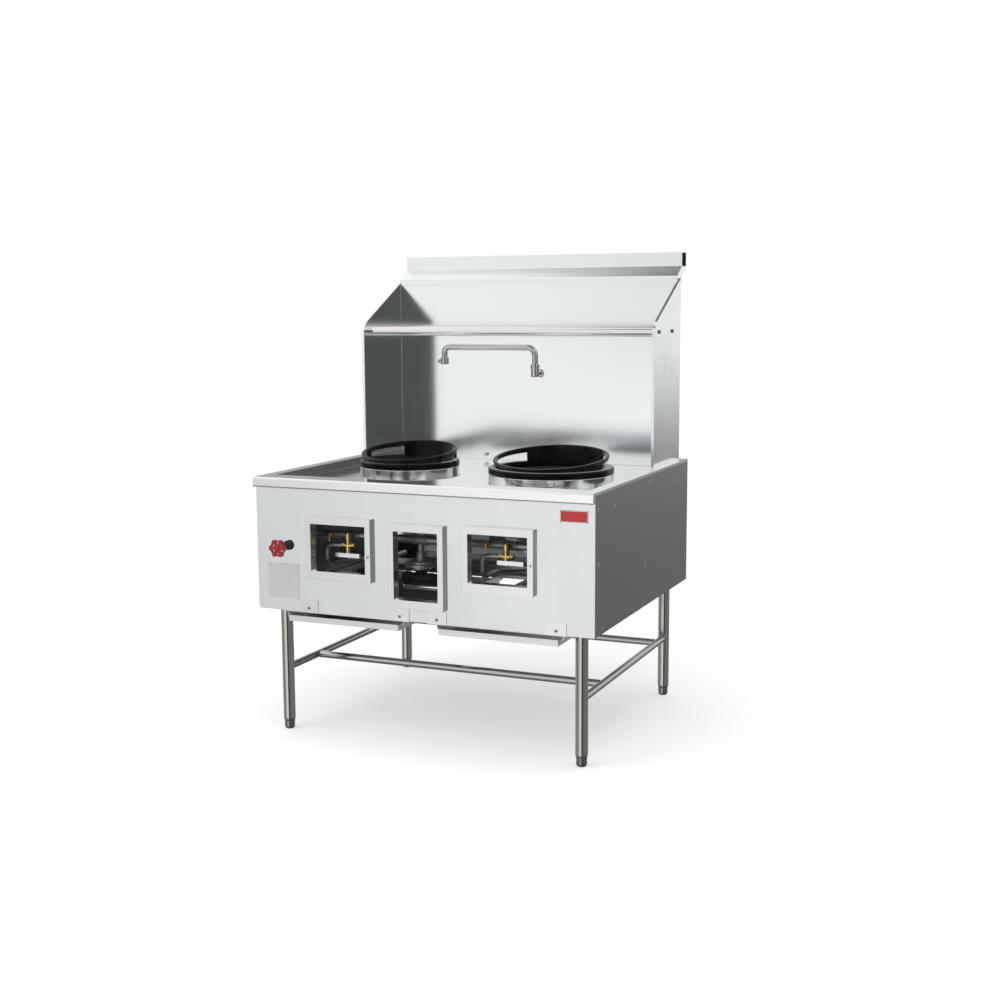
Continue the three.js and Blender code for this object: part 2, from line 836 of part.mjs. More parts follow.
// The cast ring: a level base band, and a wall with beads whose top slants up to the back,
// with a vent on each side of the back.
function wokRing(station) {
  const [x, y] = stationCentre(station);
  const floor = panFloor + collarHeight;
  const base = station.collarRadius + 1;
  const top = station.collarRadius - station.taper;
  const wallOuter = top - 3;
  const inner = base - collarSeat - ringWall - 6;
  const innerTop = wallOuter - ringWall;
  const profile = [
    [inner, 0],
    [base, 0],
    [base, ringBase - 4],
    [base - 3, ringBase],
    [wallOuter, ringBase],
    [wallOuter, ringRise - ringBead],
    [top, ringRise - ringBead + 3],
    [top, ringRise - 3],
    [top - 3, ringRise],
    [innerTop + 2, ringRise],
    [innerTop, ringRise - 5],
    [innerTop, ringBase],
  ];
  const points = [...profile, profile[0]].map(([radius, z]) => new THREE.Vector2(radius, z));
  const level = new THREE.LatheGeometry(points, wellFacets);
  level.rotateX(Math.PI / 2);
  const vent = (from, to) => {
    const reach = base + 20;
    const corners = [from, (from + to) / 2, to].map((degrees) => {
      const angle = THREE.MathUtils.degToRad(degrees);
      return new THREE.Vector2(reach * Math.cos(angle), reach * Math.sin(angle));
    });
    const outline = new THREE.Shape([new THREE.Vector2(0, 0), ...corners]);
    return extruded(outline, 'z', ringBase, ventTop);
  };
  const casting = cut(solid(level), vent(ventFrom, ventTo), vent(180 - ventTo, 180 - ventFrom));
  return casting.warp((point) => {
    const share = THREE.MathUtils.clamp((point[2] - ringBase) / (ringRise - ringBead - ringBase), 0, 1);
    point[2] += share * ringSlope * point[1] + floor;
    point[0] += x;
    point[1] += y;
  });
}

// The drum bolted under the deck: a top flange, a wall, and a shelf for the liner.
function chamberDrum(station) {
  const [x, y] = stationCentre(station);
  const inner = linerRadius(station) + linerGap;
  const outer = inner + drumWall;
  const top = panFloor - sheet;
  const bottom = top - drumDrop;
  return turned([
    [inner, top],
    [inner, bottom + drumWall],
    [inner - drumFlange, bottom + drumWall],
    [inner - drumFlange, bottom],
    [outer, bottom],
    [outer, top - drumWall],
    [outer + drumFlange, top - drumWall],
    [outer + drumFlange, top],
  ], x, y, drumFacets);
}

// A firebrick bowl that narrows down to the burner.
function chamberLiner(station) {
  const [x, y] = stationCentre(station);
  const outer = linerRadius(station);
  const bottom = panFloor - sheet - drumDrop + drumWall;
  const top = panFloor + collarHeight - collarWall - fit;
  const throat = bottom + 22;
  return turned([
    [linerHole, bottom],
    [outer, bottom],
    [outer, top],
    [outer - linerTopWall, top],
    [outer - linerWall, top - linerSteep],
    [linerHole, throat],
  ], x, y, wellFacets);
}

// A multi-jet burner: a cast box with upright jets in rings, on a wide mixing tube with
// three arms that carry it under the drum.
function burner(station) {
  const [x, y] = stationCentre(station);
  const drumBottom = panFloor - sheet - drumDrop;
  const bodyBottomZ = drumBottom + burnerRise - burnerHeight;
  const bodyTop = drumBottom + burnerRise;
  const neckBottom = bodyBottomZ - neckLength;
  let casting = turned([
    [0, bodyBottomZ + neckWall],
    [neckRadius - neckWall, bodyBottomZ + neckWall],
    [neckRadius - neckWall, neckBottom],
    [neckRadius, neckBottom],
    [neckRadius, bodyBottomZ],
    [burnerRadius, bodyBottomZ + 6],
    [burnerRadius, bodyTop - 4],
    [burnerRadius - 4, bodyTop],
    [0, bodyTop],
  ], x, y, pipeFacets);
  const armReach = linerRadius(station) + linerGap - 4;
  for (const degrees of [90, 210, 330]) {
    const angle = THREE.MathUtils.degToRad(degrees);
    const arm = new THREE.BoxGeometry(armReach, armWidth, armThick);
    arm.translate(armReach / 2, 0, 0);
    arm.rotateZ(angle);
    arm.translate(x, y, drumBottom - armThick / 2);
    casting = join(casting, solid(arm));
  }
  for (const [count, ringRadius] of [[1, 0], [6, jetPitch], [12, 2 * jetPitch]]) {
    for (let i = 0; i < count; i += 1) {
      const angle = (2 * Math.PI * i) / count;
      const jx = x + ringRadius * Math.cos(angle);
      const jy = y + ringRadius * Math.sin(angle);
      const jet = rod(jetRadius, [jx, jy, bodyTop - 1], [jx, jy, bodyTop + jetHeight], 6, jetRadius * 0.6);
      casting = join(casting, jet);
    }
  }
  return casting;
}

for (const [side, station] of Object.entries(stations)) {
  part(`collar_${side}`, polishedSteel, collar(station));
  part(`wok_ring_${side}`, blackIron, wokRing(station));
  part(`chamber_drum_${side}`, galvanised, chamberDrum(station));
  part(`chamber_liner_${side}`, firebrick, chamberLiner(station));
  part(`burner_${side}`, blackIron, burner(station));
}

// ---------------------------------------------------------------- gas train

const sides = ['left', 'right'];

// The supply pipe across the cabinet, with a tee at each valve, a drop to the regulator,
// and two straps that hang it from the underside of the gutter.
function gasManifold() {
  const at = (x) => [x, manifoldY, manifoldZ];
  const ends = [-manifoldEnd, manifoldEnd];
  let pipe = rod(manifoldRadius, at(ends[0]), at(ends[1]), pipeFacets);
  for (const x of ends) {
    const inward = x - Math.sign(x) * endBand;
    const outward = x + Math.sign(x) * teeProud;
    pipe = join(pipe, rod(manifoldRadius + teeProud, at(inward), at(outward), smallFacets));
  }
  for (const x of [valveX.left, regulatorX, valveX.right]) {
    pipe = join(pipe, rod(manifoldRadius + teeProud, at(x - teeHalf), at(x + teeHalf), smallFacets));
  }
  const strapTop = panFloor - gutterDepth - sheet;
  for (const x of [-hangerX, hangerX]) {
    const across = [x - hangerWidth / 2, x + hangerWidth / 2];
    const rear = manifoldY + hangerThick / 2;
    const strip = box(across, [rear - hangerThick, rear], [manifoldZ, strapTop]);
    const pad = box(across, [rear - hangerFoot, rear], [strapTop - hangerThick, strapTop]);
    pipe = join(pipe, strip, pad);
  }
  const drop = rod(manifoldRadius - 3, at(regulatorX), [regulatorX, manifoldY, towerTop + fit], pipeFacets);
  return join(pipe, drop);
}

part('gas_manifold', blackIron, gasManifold());

// The pressure regulator: a level body, a wide diaphragm case over it with a spring tower
// on top, and a short elbow below for the inlet.
function gasRegulator() {
  const at = (z) => [regulatorX, manifoldY, z];
  const bodyY = (manifoldY + inletY) / 2;
  const end = regulatorX - regulatorLength / 2;
  const body = rod(regulatorRadius, [end, bodyY, regulatorZ], [end + regulatorLength, bodyY, regulatorZ], tubeFacets);
  const diaphragm = [diaphragmZ - diaphragmHeight / 2, diaphragmZ + diaphragmHeight / 2];
  return join(
    body,
    rod(towerRadius + 5, at(regulatorZ), at(diaphragm[0] + 1), pipeFacets),
    rod(diaphragmRadius, at(diaphragmZ - 5), at(diaphragmZ + 5), tubeFacets),
    rod(diaphragmRadius - 14, at(diaphragm[0]), at(diaphragm[1]), tubeFacets),
    rod(towerRadius, at(diaphragmZ), at(towerTop), pipeFacets),
    hexNut(2 * inletRadius + 6, [inletStart + 11, inletY, regulatorZ], [inletStart + 11, inletY, inletZ + inletRadius + fit]),
  );
}

part('gas_regulator', brass, gasRegulator());

// The inlet pipe: plugged under the regulator's elbow, across the cabinet and out through
// the rear panel.
part('gas_inlet_pipe', tubeSteel, bentTube(inletRadius, [
  [inletStart, inletY, inletZ],
  [inletX, inletY, inletZ],
  [inletX, bodyDepth + 2 * inletRadius, inletZ],
], 30, pipeFacets, 3));

// A brass valve: a slim cap on a level hexagon branch, a union behind to the manifold, and
// a stem below that carries the lever.
function gasValve(side) {
  const x = valveX[side];
  const leverTop = rimHeight - leverDrop[side] + leverHeight;
  const at = (z) => [x, valveY, z];
  return join(
    rod(valveCapRadius, at(branchZ), at(valveTop), pipeFacets),
    hexNut(branchFlats, [x - branchLeft, valveY, branchZ], [x + branchRight, valveY, branchZ]),
    rod(valveStemRadius, at(leverTop + fit), at(branchZ), pipeFacets),
    hexNut(branchFlats, [x, valveY, manifoldZ], [x, manifoldY - manifoldRadius - teeProud - fit, manifoldZ]),
  );
}

// The bar lever under the valve. It turns about the stem.
function valveLever(side) {
  const x = valveX[side];
  const bottom = rimHeight - leverDrop[side];
  const right = leverReach[side];
  const left = leverLength - right;
  const round = leverWidth / 2;
  const outline = new THREE.Shape();
  outline.moveTo(x - left + round, valveY - round);
  outline.lineTo(x + right - round, valveY - round);
  outline.absarc(x + right - round, valveY, round, -Math.PI / 2, Math.PI / 2, false);
  outline.lineTo(x - left + round, valveY + round);
  outline.absarc(x - left + round, valveY, round, Math.PI / 2, Math.PI * 1.5, false);
  const bar = extruded(outline, 'z', bottom, bottom + leverHeight);
  const screw = hexNut(11, [x, valveY, bottom - 4], [x, valveY, bottom + 1]);
  return join(bar, screw);
}

// The pipe from the valve's branch to the side of the burner's mixing tube.
function burnerFeed(side) {
  const station = stations[side];
  const [bx, by] = stationCentre(station);
  const neckBottom = panFloor - sheet - drumDrop + burnerRise - burnerHeight - neckLength;
  const entry = neckBottom + feedRise;
  const startX = valveX[side] - branchLeft - fit;
  const turnX = startX - feedReach;
  const front = by - neckRadius - fit;
  return bentTube(feedRadius, [
    [startX, valveY, branchZ],
    [turnX, valveY, branchZ],
    [turnX, valveY, entry],
    [turnX, valveY + (front - valveY) * 0.35, entry],
    [bx, valveY + (front - valveY) * 0.7, entry],
    [bx, front, entry],
  ], 26, smallFacets, 3);
}

for (const side of sides) {
  part(`gas_valve_${side}`, brass, gasValve(side));
  part(`valve_lever_${side}`, polishedSteel, valveLever(side));
  part(`burner_feed_${side}`, galvanised, burnerFeed(side));
}

// Two small pilot valves on the front of the manifold.
function pilotValve(side) {
  const x = valveX[side] - pilotOffset;
  const back = manifoldY - manifoldRadius - fit;
  const z = manifoldZ + 4;
  return join(
    rod(pilotRadius, [x, back - pilotLength, z], [x, back, z], smallFacets),
    hexNut(2 * pilotRadius + 3, [x, back - 20, z], [x, back - 10, z]),
    rod(pilotTube, [x, back - 26, z], [x, back - 26, z - 24], 6),
  );
}

for (const side of sides) {
  part(`pilot_valve_${side}`, brass, pilotValve(side));
}

// ---------------------------------------------------------------- deck rinse water

// The valve behind the apron: body, bonnet through the apron, and the stem of the wheel.
function rinseValve() {
  const at = (y) => [waterX, y, waterZ];
  const flangeFace = -4;
  return join(
    rod(bonnetRadius, at(-24), at(waterY + 10), pipeFacets),
    rod(bonnetRadius + 3.5, at(flangeFace), at(-fit), tubeFacets),
    hexNut(2 * bonnetRadius + 1, at(-22), at(-10)),
    rod(8, at(-38), at(-20), smallFacets),
    rod(4.5, at(-wheelProud + wheelThick / 2 + fit), at(-36), smallFacets),
    hexNut(22, [waterX, waterY, waterZ], [waterX, waterY, waterZ + 34]),
    hexNut(22, [waterX, waterY, waterZ], [waterX, waterY, waterZ - 30]),
  );
}

// The handwheel: a lobed rim with a window between each pair of spokes, a hub and a nut.
function handwheel() {
  const lobeDepth = wheelRadius * 0.1;
  const at = (radius, angle) => new THREE.Vector2(
    waterX + radius * Math.cos(angle),
    waterZ + radius * Math.sin(angle),
  );
  const outline = [];
  const steps = wheelLobes * 6;
  for (let i = 0; i < steps; i += 1) {
    const angle = (2 * Math.PI * i) / steps;
    outline.push(at(wheelRadius - lobeDepth + lobeDepth * Math.cos(wheelLobes * angle), angle));
  }
  const rim = new THREE.Shape(outline);
  for (let i = 0; i < wheelLobes; i += 1) {
    const middle = (2 * Math.PI * (i + 0.5)) / wheelLobes;
    rim.holes.push(new THREE.Path([
      at(wheelRadius * 0.4, middle - 0.22),
      at(wheelRadius * 0.66, middle - 0.28),
      at(wheelRadius * 0.72, middle),
      at(wheelRadius * 0.66, middle + 0.28),
      at(wheelRadius * 0.4, middle + 0.22),
    ]));
  }
  const front = -wheelProud - wheelThick / 2;
  const back = -wheelProud + wheelThick / 2;
  const wheel = extruded(rim, 'y', front, back);
  const hub = rod(wheelRadius * 0.3, [waterX, front - 2, waterZ], [waterX, back, waterZ], pipeFacets);
  const nut = hexNut(9, [waterX, front - 5, waterZ], [waterX, front - 1, waterZ]);
  return join(wheel, hub, nut);
}

// The pipe under the deck that ends in a nozzle through the backguard.
function rinsePipe() {
  const jetZ = rimHeight - jetDrop;
  const riserY = panRear + sheet + (rearRimWidth - 2 * sheet) / 2;
  const run = bentTube(rinseRadius, [
    [waterX, waterY, waterZ + 34 + fit],
    [waterX, waterY, rinseZ],
    [waterX, riserY, rinseZ],
    [jetX, riserY, rinseZ],
    [jetX, riserY, jetZ],
  ], 20, 6, 3);
  const elbow = rod(rinseRadius + 1, [jetX, riserY, jetZ - 9], [jetX, riserY, jetZ + 5], smallFacets);
  const nozzle = rod(rinseRadius - 0.4, [jetX, riserY, jetZ], [jetX, backFace - 14, jetZ], smallFacets);
  const tip = rod(rinseRadius + 1.5, [jetX, backFace - fit, jetZ], [jetX, backFace - 11, jetZ], smallFacets);
  return join(run, elbow, nozzle, tip);
}

part('rinse_valve', darkSteel, rinseValve());
part('rinse_handwheel', redPaint, handwheel());
part('rinse_pipe', brass, rinsePipe());

// ---------------------------------------------------------------- drip trays

// A shallow tray with a rolled-out rim along each side and a hemmed front.
function dripTray({ from, to }) {
  const y = [trayFront, trayFront + trayLength];
  const z = [trayTop - trayDepth, trayTop];
  const tub = cut(
    box([from, to], y, z),
    box(widened([from, to], -traySheet), widened(y, -traySheet), [z[0] + traySheet, z[1] + 1]),
  );
  const rimZ = [trayTop - traySheet, trayTop];
  const rimY = [trayFront + 24, y[1]];
  const leftRim = box([from - trayRim, from + traySheet], rimY, rimZ);
  const rightRim = box([to - traySheet, to + trayRim], rimY, rimZ);
  const hem = box([from, to], [trayFront - 3, trayFront + traySheet], [trayTop - traySheet, trayTop]);
  const hemLip = box([from, to], [trayFront - 3, trayFront - 3 + traySheet], [trayTop - 6, trayTop]);
  return join(tub, leftRim, rightRim, hem, hemLip);
}

// The runners of a tray: two bent rails under the base frame, tied by a strap under the
// apron whose tabs are turned up and screwed to its face.
function trayHanger({ from, to, tabs }) {
  const shelfTop = trayTop - traySheet - fit;
  const railY = [strapWidth - strap, trayBeam - angleWall - fit];
  const rail = (edge, sign) => {
    const web = edge + sign * trayRunnerWeb;
    const span = (a, b) => [Math.min(a, b), Math.max(a, b)];
    const head = box(span(web, edge + sign * 2), railY, [baseZ - strap, baseZ]);
    const wall = box(span(web - sign * strap, web), railY, [shelfTop - strap, baseZ]);
    const shelf = box(span(web, edge + sign * 1.5), railY, [shelfTop - strap, shelfTop]);
    return join(head, wall, shelf);
  };
  const webs = [from - trayRunnerWeb, to + trayRunnerWeb];
  const strapX = [Math.min(webs[0], tabs[0] - tabWidth / 2), Math.max(webs[1], tabs[1] + tabWidth / 2)];
  let hanger = join(
    box(strapX, [-strap, strapWidth], [bodyBottom - strap, bodyBottom]),
    rail(from, -1),
    rail(to, 1),
  );
  for (const x of tabs) {
    const tab = box([x - tabWidth / 2, x + tabWidth / 2], [-strap, 0], [bodyBottom - strap, bodyBottom + tabHeight]);
    const holeZ = bodyBottom + tabScrewRise;
    const hole = rod(screwRadius - 1, [x, -strap - 1, holeZ], [x, 1, holeZ], smallFacets);
    hanger = cut(join(hanger, tab), hole);
  }
  return hanger;
}

for (const [side, tray] of Object.entries(trays)) {
  part(`drip_tray_${side}`, brushedSteel, dripTray(tray));
  part(`tray_hanger_${side}`, polishedSteel, trayHanger(tray));
}

// ---------------------------------------------------------------- backguard

function backPanel() {
  const half = wingInner - fit;
  const top = capBottom + capStrip - 6;
  const plate = box([-half, half], [backFace, backFace + sheet], [panFloor + fit, top]);
  const rear = backFace + sheet;
  const low = rimHeight + 2;
  const stiffener = (x) => cut(
    box([x - stiffenerWidth / 2, x + stiffenerWidth / 2], [rear - 0.5, rear + stiffenerDepth], [low, capBottom - 2]),
    box(
      widened([x - stiffenerWidth / 2, x + stiffenerWidth / 2], -sheet),
      [rear, rear + stiffenerDepth - sheet],
      [low - 1, capBottom + 1],
    ),
  );
  const jetZ = rimHeight - jetDrop;
  const jetHole = rod(rinseRadius + fit, [jetX, backFace - 1, jetZ], [jetX, rear + 1, jetZ], smallFacets);
  const shankHole = rod(shankRadius + fit, [spoutX, backFace - 1, shankZ], [spoutX, rear + 1, shankZ], pipeFacets);
  return cut(join(plate, stiffener(-stiffenerX), stiffener(stiffenerX)), jetHole, shankHole);
}

part('back_panel', brushedSteel, backPanel());

// A side wing: straight up at the front, a rounded knee, then a slope up to the cap.
bothSides((side, sign) => {
  const path = [
    [wingFront, rimHeight],
    [wingFront, wingKnee],
    [wingRear, wingTop],
    [wingRear, rimHeight],
  ];
  const knee = rounded(path.slice(0, 3), kneeRadius, 5);
  const outline = [...knee, path[3]].map(([y, z]) => new THREE.Vector2(y, z)).reverse();
  const x = [Math.min(sign * wingInner, sign * wingOuter), Math.max(sign * wingInner, sign * wingOuter)];
  const panel = extruded(new THREE.Shape(outline), 'x', x[0], x[1]);
  const holes = [rackFront, rackRear].map((y) => rod(boltRadius + fit, [x[0] - 1, y, rackZ], [x[1] + 1, y, rackZ], smallFacets));
  part(`wing_${side}`, sign < 0 ? darkSteel : brushedSteel, cut(panel, ...holes));
});

// The cap is one sheet folded round: strip, slope, fascia, top, and back down behind.
function topCap() {
  const rearDrop = capBottom + sheet;
  const path = [
    [capFront, capBottom],
    [capFront, capBottom + capStrip],
    [capFront + capBack, capBottom + capStrip + capUp],
    [capFront + capBack, capBottom + capStrip + capUp + capFascia],
    [rearmost, capBottom + capStrip + capUp + capFascia],
    [rearmost, capBottom + capStrip + capUp],
    [rearmost - capBack, capBottom + capStrip],
    [rearmost - capBack, rearDrop],
    [backFace + sheet + fit, rearDrop],
  ];
  const half = wingInner - fit;
  const shell = extruded(bentSheet(rounded(path, 2.5, 2), sheet), 'x', -half, half);
  const stiffenerGap = (x) => box(
    widened([x - stiffenerWidth / 2, x + stiffenerWidth / 2], fit),
    [backFace + sheet, backFace + sheet + stiffenerDepth + fit],
    [capBottom - 3, capBottom + 4],
  );
  return cut(shell, stiffenerGap(-stiffenerX), stiffenerGap(stiffenerX));
}

part('top_cap', brushedSteel, topCap());

// ---------------------------------------------------------------- pipe rack

// A tube whose end studs pass through the wings and carry a nut on the outside. A weep hole
// underneath vents it for welding.
function rackTube(y) {
  const half = wingInner - fit;
  const at = (x) => [x, y, rackZ];
  let tube = cut(
    rod(rackRadius, at(-half), at(half), tubeFacets),
    rod(rackRadius - rackWall, at(-half + rackPlug), at(half - rackPlug), pipeFacets),
  );
  for (const sign of [-1, 1]) {
    const nutFace = sign * (wingOuter + fit);
    const stud = rod(boltRadius, at(sign * (half - 2)), at(nutFace + sign), smallFacets);
    const nut = hexNut(2 * boltHead, at(nutFace), at(nutFace + sign * boltHeadHeight));
    tube = join(tube, stud, nut);
  }
  return cut(tube, rod(weepRadius, [weepX, y, rackZ - rackRadius - 1], [weepX, y, rackZ], 8));
}

part('rack_tube_front', tubeSteel, rackTube(rackFront));
part('rack_tube_rear', tubeSteel, rackTube(rackRear));

// ---------------------------------------------------------------- swing spout

// The fixed body: an upright swivel barrel on a shank through the backguard.
function spoutBody() {
  const socketFloor = spoutBodyTop - spoutPinLength - 1;
  const barrel = turned([
    [0, spoutBodyBottom],
    [spoutBodyRadius - 3, spoutBodyBottom],
    [spoutBodyRadius, spoutBodyBottom + 3],
    [spoutBodyRadius, spoutBodyTop],
    [spoutPin + fit, spoutBodyTop],
    [spoutPin + fit, socketFloor],
    [0, socketFloor],
  ], spoutX, spoutY, pipeFacets);
  const along = (y) => [spoutX, y, shankZ];
  const behindSocket = spoutY + spoutPin + 3;
  const shank = rod(shankRadius, along(behindSocket), along(backFace + sheet + 14), pipeFacets);
  const rose = rod(shankRadius + 7, along(backFace - 4), along(backFace), tubeFacets);
  const lockNut = hexNut(26, along(backFace + sheet), along(backFace + sheet + 8));
  return join(barrel, shank, rose, lockNut);
}

// The spout: a pin in the barrel, a gland over it, the long bent tube, and an outlet with
// its pull.
function swingSpout() {
  const outletX = spoutX - spoutReach;
  const glandBottom = spoutBodyTop + fit;
  const at = (x, z) => [x, spoutY, z];
  const tube = bentTube(spoutRadius, [
    at(spoutX, glandBottom + 2),
    at(spoutX, spoutZ),
    at(outletX, spoutZ),
    at(outletX, outletBottom + 10),
  ], [spoutBend, outletBend], pipeFacets, 4);
  const gland = rod(spoutBodyRadius, at(spoutX, glandBottom), at(spoutX, glandBottom + glandHeight), pipeFacets);
  const outlet = rod(outletRadius, at(outletX, outletBottom), at(outletX, outletBottom + outletHeight), pipeFacets);
  const pin = rod(spoutPin, at(spoutX, spoutBodyTop - spoutPinLength), at(spoutX, glandBottom + 5), pipeFacets);
  const bore = rod(spoutRadius - 2, at(outletX, outletBottom - 1), at(outletX, outletBottom + 14), pipeFacets);
  const pullZ = outletBottom + 12;
  const pull = join(
    rod(3.5, at(outletX, pullZ), at(outletX - 25, pullZ), 6),
    rod(5, at(outletX - 24, pullZ - 7), at(outletX - 24, pullZ + 7), smallFacets),
  );
  return cut(join(tube, gland, outlet, pin, pull), bore);
}

part('spout_body', polishedSteel, spoutBody());
part('swing_spout', polishedSteel, swingSpout());

// ---------------------------------------------------------------- plates

function flatPlate(x, z, width, height) {
  return box([x - width / 2, x + width / 2], [-plateThick, 0], [z - height / 2, z + height / 2]);
}

part('rating_plate', platePaint, flatPlate(plateX, rimHeight - plateDrop, plateSize, plateSize));
part('front_badge', redPaint, flatPlate(badgeX, rimHeight - badgeDrop, badgeWidth, badgeHeight));

// The origin: on the floor, midway across and midway between the foremost and rearmost.
range.position.y = -(rearmost + frontmost) / 2;

export default range;
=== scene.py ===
# %% [markdown]
# # A two-burner wok range
# This notebook dresses the solid model of a restaurant wok range. The solids give the sizes
# and what moves. Here every round piece is turned again with finer facets, every folded
# sheet gets the small rounded edge that a press brake leaves, and each surface gets its own
# finish: brushed sheet, drawn tube, black cast iron, machined brass.

# %% Load the solids
import bpy
import bmesh
import math
from mathutils import Matrix, Vector


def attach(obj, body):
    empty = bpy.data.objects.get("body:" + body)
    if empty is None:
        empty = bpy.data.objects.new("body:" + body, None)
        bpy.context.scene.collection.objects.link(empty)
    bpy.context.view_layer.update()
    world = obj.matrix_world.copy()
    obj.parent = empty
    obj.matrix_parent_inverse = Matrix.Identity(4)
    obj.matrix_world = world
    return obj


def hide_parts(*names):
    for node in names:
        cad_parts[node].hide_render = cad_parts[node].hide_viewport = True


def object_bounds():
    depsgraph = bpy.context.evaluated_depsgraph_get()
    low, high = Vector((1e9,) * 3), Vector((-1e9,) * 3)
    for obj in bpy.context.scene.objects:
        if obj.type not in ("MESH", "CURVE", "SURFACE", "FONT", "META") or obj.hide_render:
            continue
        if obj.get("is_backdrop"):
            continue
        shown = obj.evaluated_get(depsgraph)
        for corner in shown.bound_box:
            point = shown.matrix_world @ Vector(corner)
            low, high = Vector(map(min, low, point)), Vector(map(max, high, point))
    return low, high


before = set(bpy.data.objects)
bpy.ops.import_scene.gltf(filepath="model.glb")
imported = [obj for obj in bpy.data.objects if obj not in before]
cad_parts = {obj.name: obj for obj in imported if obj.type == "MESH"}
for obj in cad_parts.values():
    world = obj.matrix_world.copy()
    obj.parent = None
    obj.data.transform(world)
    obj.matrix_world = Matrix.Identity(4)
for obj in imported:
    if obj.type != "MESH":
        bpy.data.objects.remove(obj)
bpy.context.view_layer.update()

# %% [markdown]
# The maker's drawing measures from the face of the front panel, in millimetres. The solids
# have their origin on the floor under the middle of the range. One helper turns a drawing
# place into a place in the scene, so the numbers below stay the drawing's own.

# %% From the drawing to the scene
MM = 0.001
FRONT_TO_ORIGIN = 517.6


def place(x, y, z):
    return Vector((x * MM, (y - FRONT_TO_ORIGIN) * MM, z * MM))


print("front panel's lower middle:", tuple(round(v, 4) for v in place(0, 0, 438)))

# %% [markdown]
# ## Shared finishes
# A finish is a small network of nodes. These helpers keep the cells below short: one feeds a
# node's inputs with plain numbers or with another node's output, and the others make a Math
# node, spread or ease a value, and mix two colours.

# %% Helpers: nodes
def feed(tree, node, inputs):
    for label, value in inputs.items():
        if hasattr(value, "is_linked"):
            tree.links.new(value, node.inputs[label])
        else:
            node.inputs[label].default_value = value
    return node


def add_node(tree, kind, inputs):
    return feed(tree, tree.nodes.new("ShaderNode" + kind), inputs)


def do_math(tree, operation, *values, clamp=False):
    node = tree.nodes.new("ShaderNodeMath")
    node.operation = operation
    node.use_clamp = clamp
    return feed(tree, node, dict(enumerate(values))).outputs[0]


def map_value(tree, value, low=0.0, high=1.0, start=0.0, stop=1.0, eased=False):
    """Spreads start..stop over low..high, and holds the ends."""
    node = tree.nodes.new("ShaderNodeMapRange")
    node.interpolation_type = "SMOOTHSTEP" if eased else "LINEAR"
    feed(tree, node, {"Value": value, "From Min": start, "From Max": stop,
                      "To Min": low, "To Max": high})
    return node.outputs["Result"]


def mix_colour(tree, factor, first, second):
    mix = tree.nodes.new("ShaderNodeMix")
    mix.data_type = "RGBA"
    first, second = (c if hasattr(c, "is_linked") else (*c, 1.0) for c in (first, second))
    return feed(tree, mix, {0: factor, 6: first, 7: second}).outputs[2]


def grey(value):
    return (value, value, value)


print("node helpers: feed, add, math, map, mix")

# %% [markdown]
# Brushed steel is covered with fine scratches that run one way. A noise texture stretched a
# hundred times along the scratches gives that, and several materials need it, each with its
# own direction. So it is a node group with named inputs. Object coordinates are used,
# because they stay at the real scale whatever the size of the piece.

# %% Node group: brushed grain
def new_group(name, inputs, outputs):
    group = bpy.data.node_groups.new(name, "ShaderNodeTree")
    for label, kind, default in inputs:
        socket = group.interface.new_socket(name=label, in_out="INPUT", socket_type=kind)
        socket.default_value = default
    for label, kind in outputs:
        group.interface.new_socket(name=label, in_out="OUTPUT", socket_type=kind)
    start = group.nodes.new("NodeGroupInput")
    end = group.nodes.new("NodeGroupOutput")
    return group, start, end


def make_brushed_grain():
    tree, start, end = new_group(
        "Brushed grain",
        [("Stretch", "NodeSocketVector", (4, 400, 400)), ("Contrast", "NodeSocketFloat", 1.0)],
        [("Streak", "NodeSocketFloat"), ("Height", "NodeSocketFloat")],
    )
    where = tree.nodes.new("ShaderNodeTexCoord").outputs["Object"]
    scale = tree.nodes.new("ShaderNodeVectorMath")
    scale.operation = "MULTIPLY"
    feed(tree, scale, {0: where, 1: start.outputs["Stretch"]})
    noise = add_node(tree, "TexNoise",
                     {"Vector": scale.outputs[0], "Scale": 1.0, "Detail": 5.0, "Roughness": 0.7})
    middle = 0.5
    off_middle = do_math(tree, "SUBTRACT", noise.outputs["Fac"], middle)
    streak = do_math(tree, "MULTIPLY_ADD", off_middle, start.outputs["Contrast"], middle,
                     clamp=True)
    feed(tree, end, {"Streak": streak, "Height": noise.outputs["Fac"]})
    return tree


brushed_grain = make_brushed_grain()
print("group:", brushed_grain.name)

# %% [markdown]
# A working kitchen surface is never even. Wiping leaves broad cloudy marks, and hands leave
# small ones. Two noises of different size are mixed into one mask, which mostly changes the
# roughness, because that is how a smear shows on metal.

# %% Node group: wiped marks
def make_wiped_marks():
    tree, start, end = new_group(
        "Wiped marks",
        [("Broad", "NodeSocketFloat", 3.0), ("Small", "NodeSocketFloat", 22.0)],
        [("Marks", "NodeSocketFloat")],
    )
    where = tree.nodes.new("ShaderNodeTexCoord").outputs["Object"]
    broad, small = (
        add_node(tree, "TexNoise",
                 {"Vector": where, "Scale": start.outputs[label], "Detail": detail}).outputs["Fac"]
        for label, detail in (("Broad", 2.0), ("Small", 6.0))
    )
    blend = add_node(tree, "Mix", {0: 0.4, 2: broad, 3: small})
    feed(tree, end, {"Marks": map_value(tree, blend.outputs[0], start=0.32, stop=0.68)})
    return tree


wiped_marks = make_wiped_marks()
print("group:", wiped_marks.name)

# %% [markdown]
# Sand-cast iron has a pebbled skin. Voronoi cells give the sand grains and a noise breaks
# them up. Black enamel over it keeps only the larger waves, so the amount is an input.

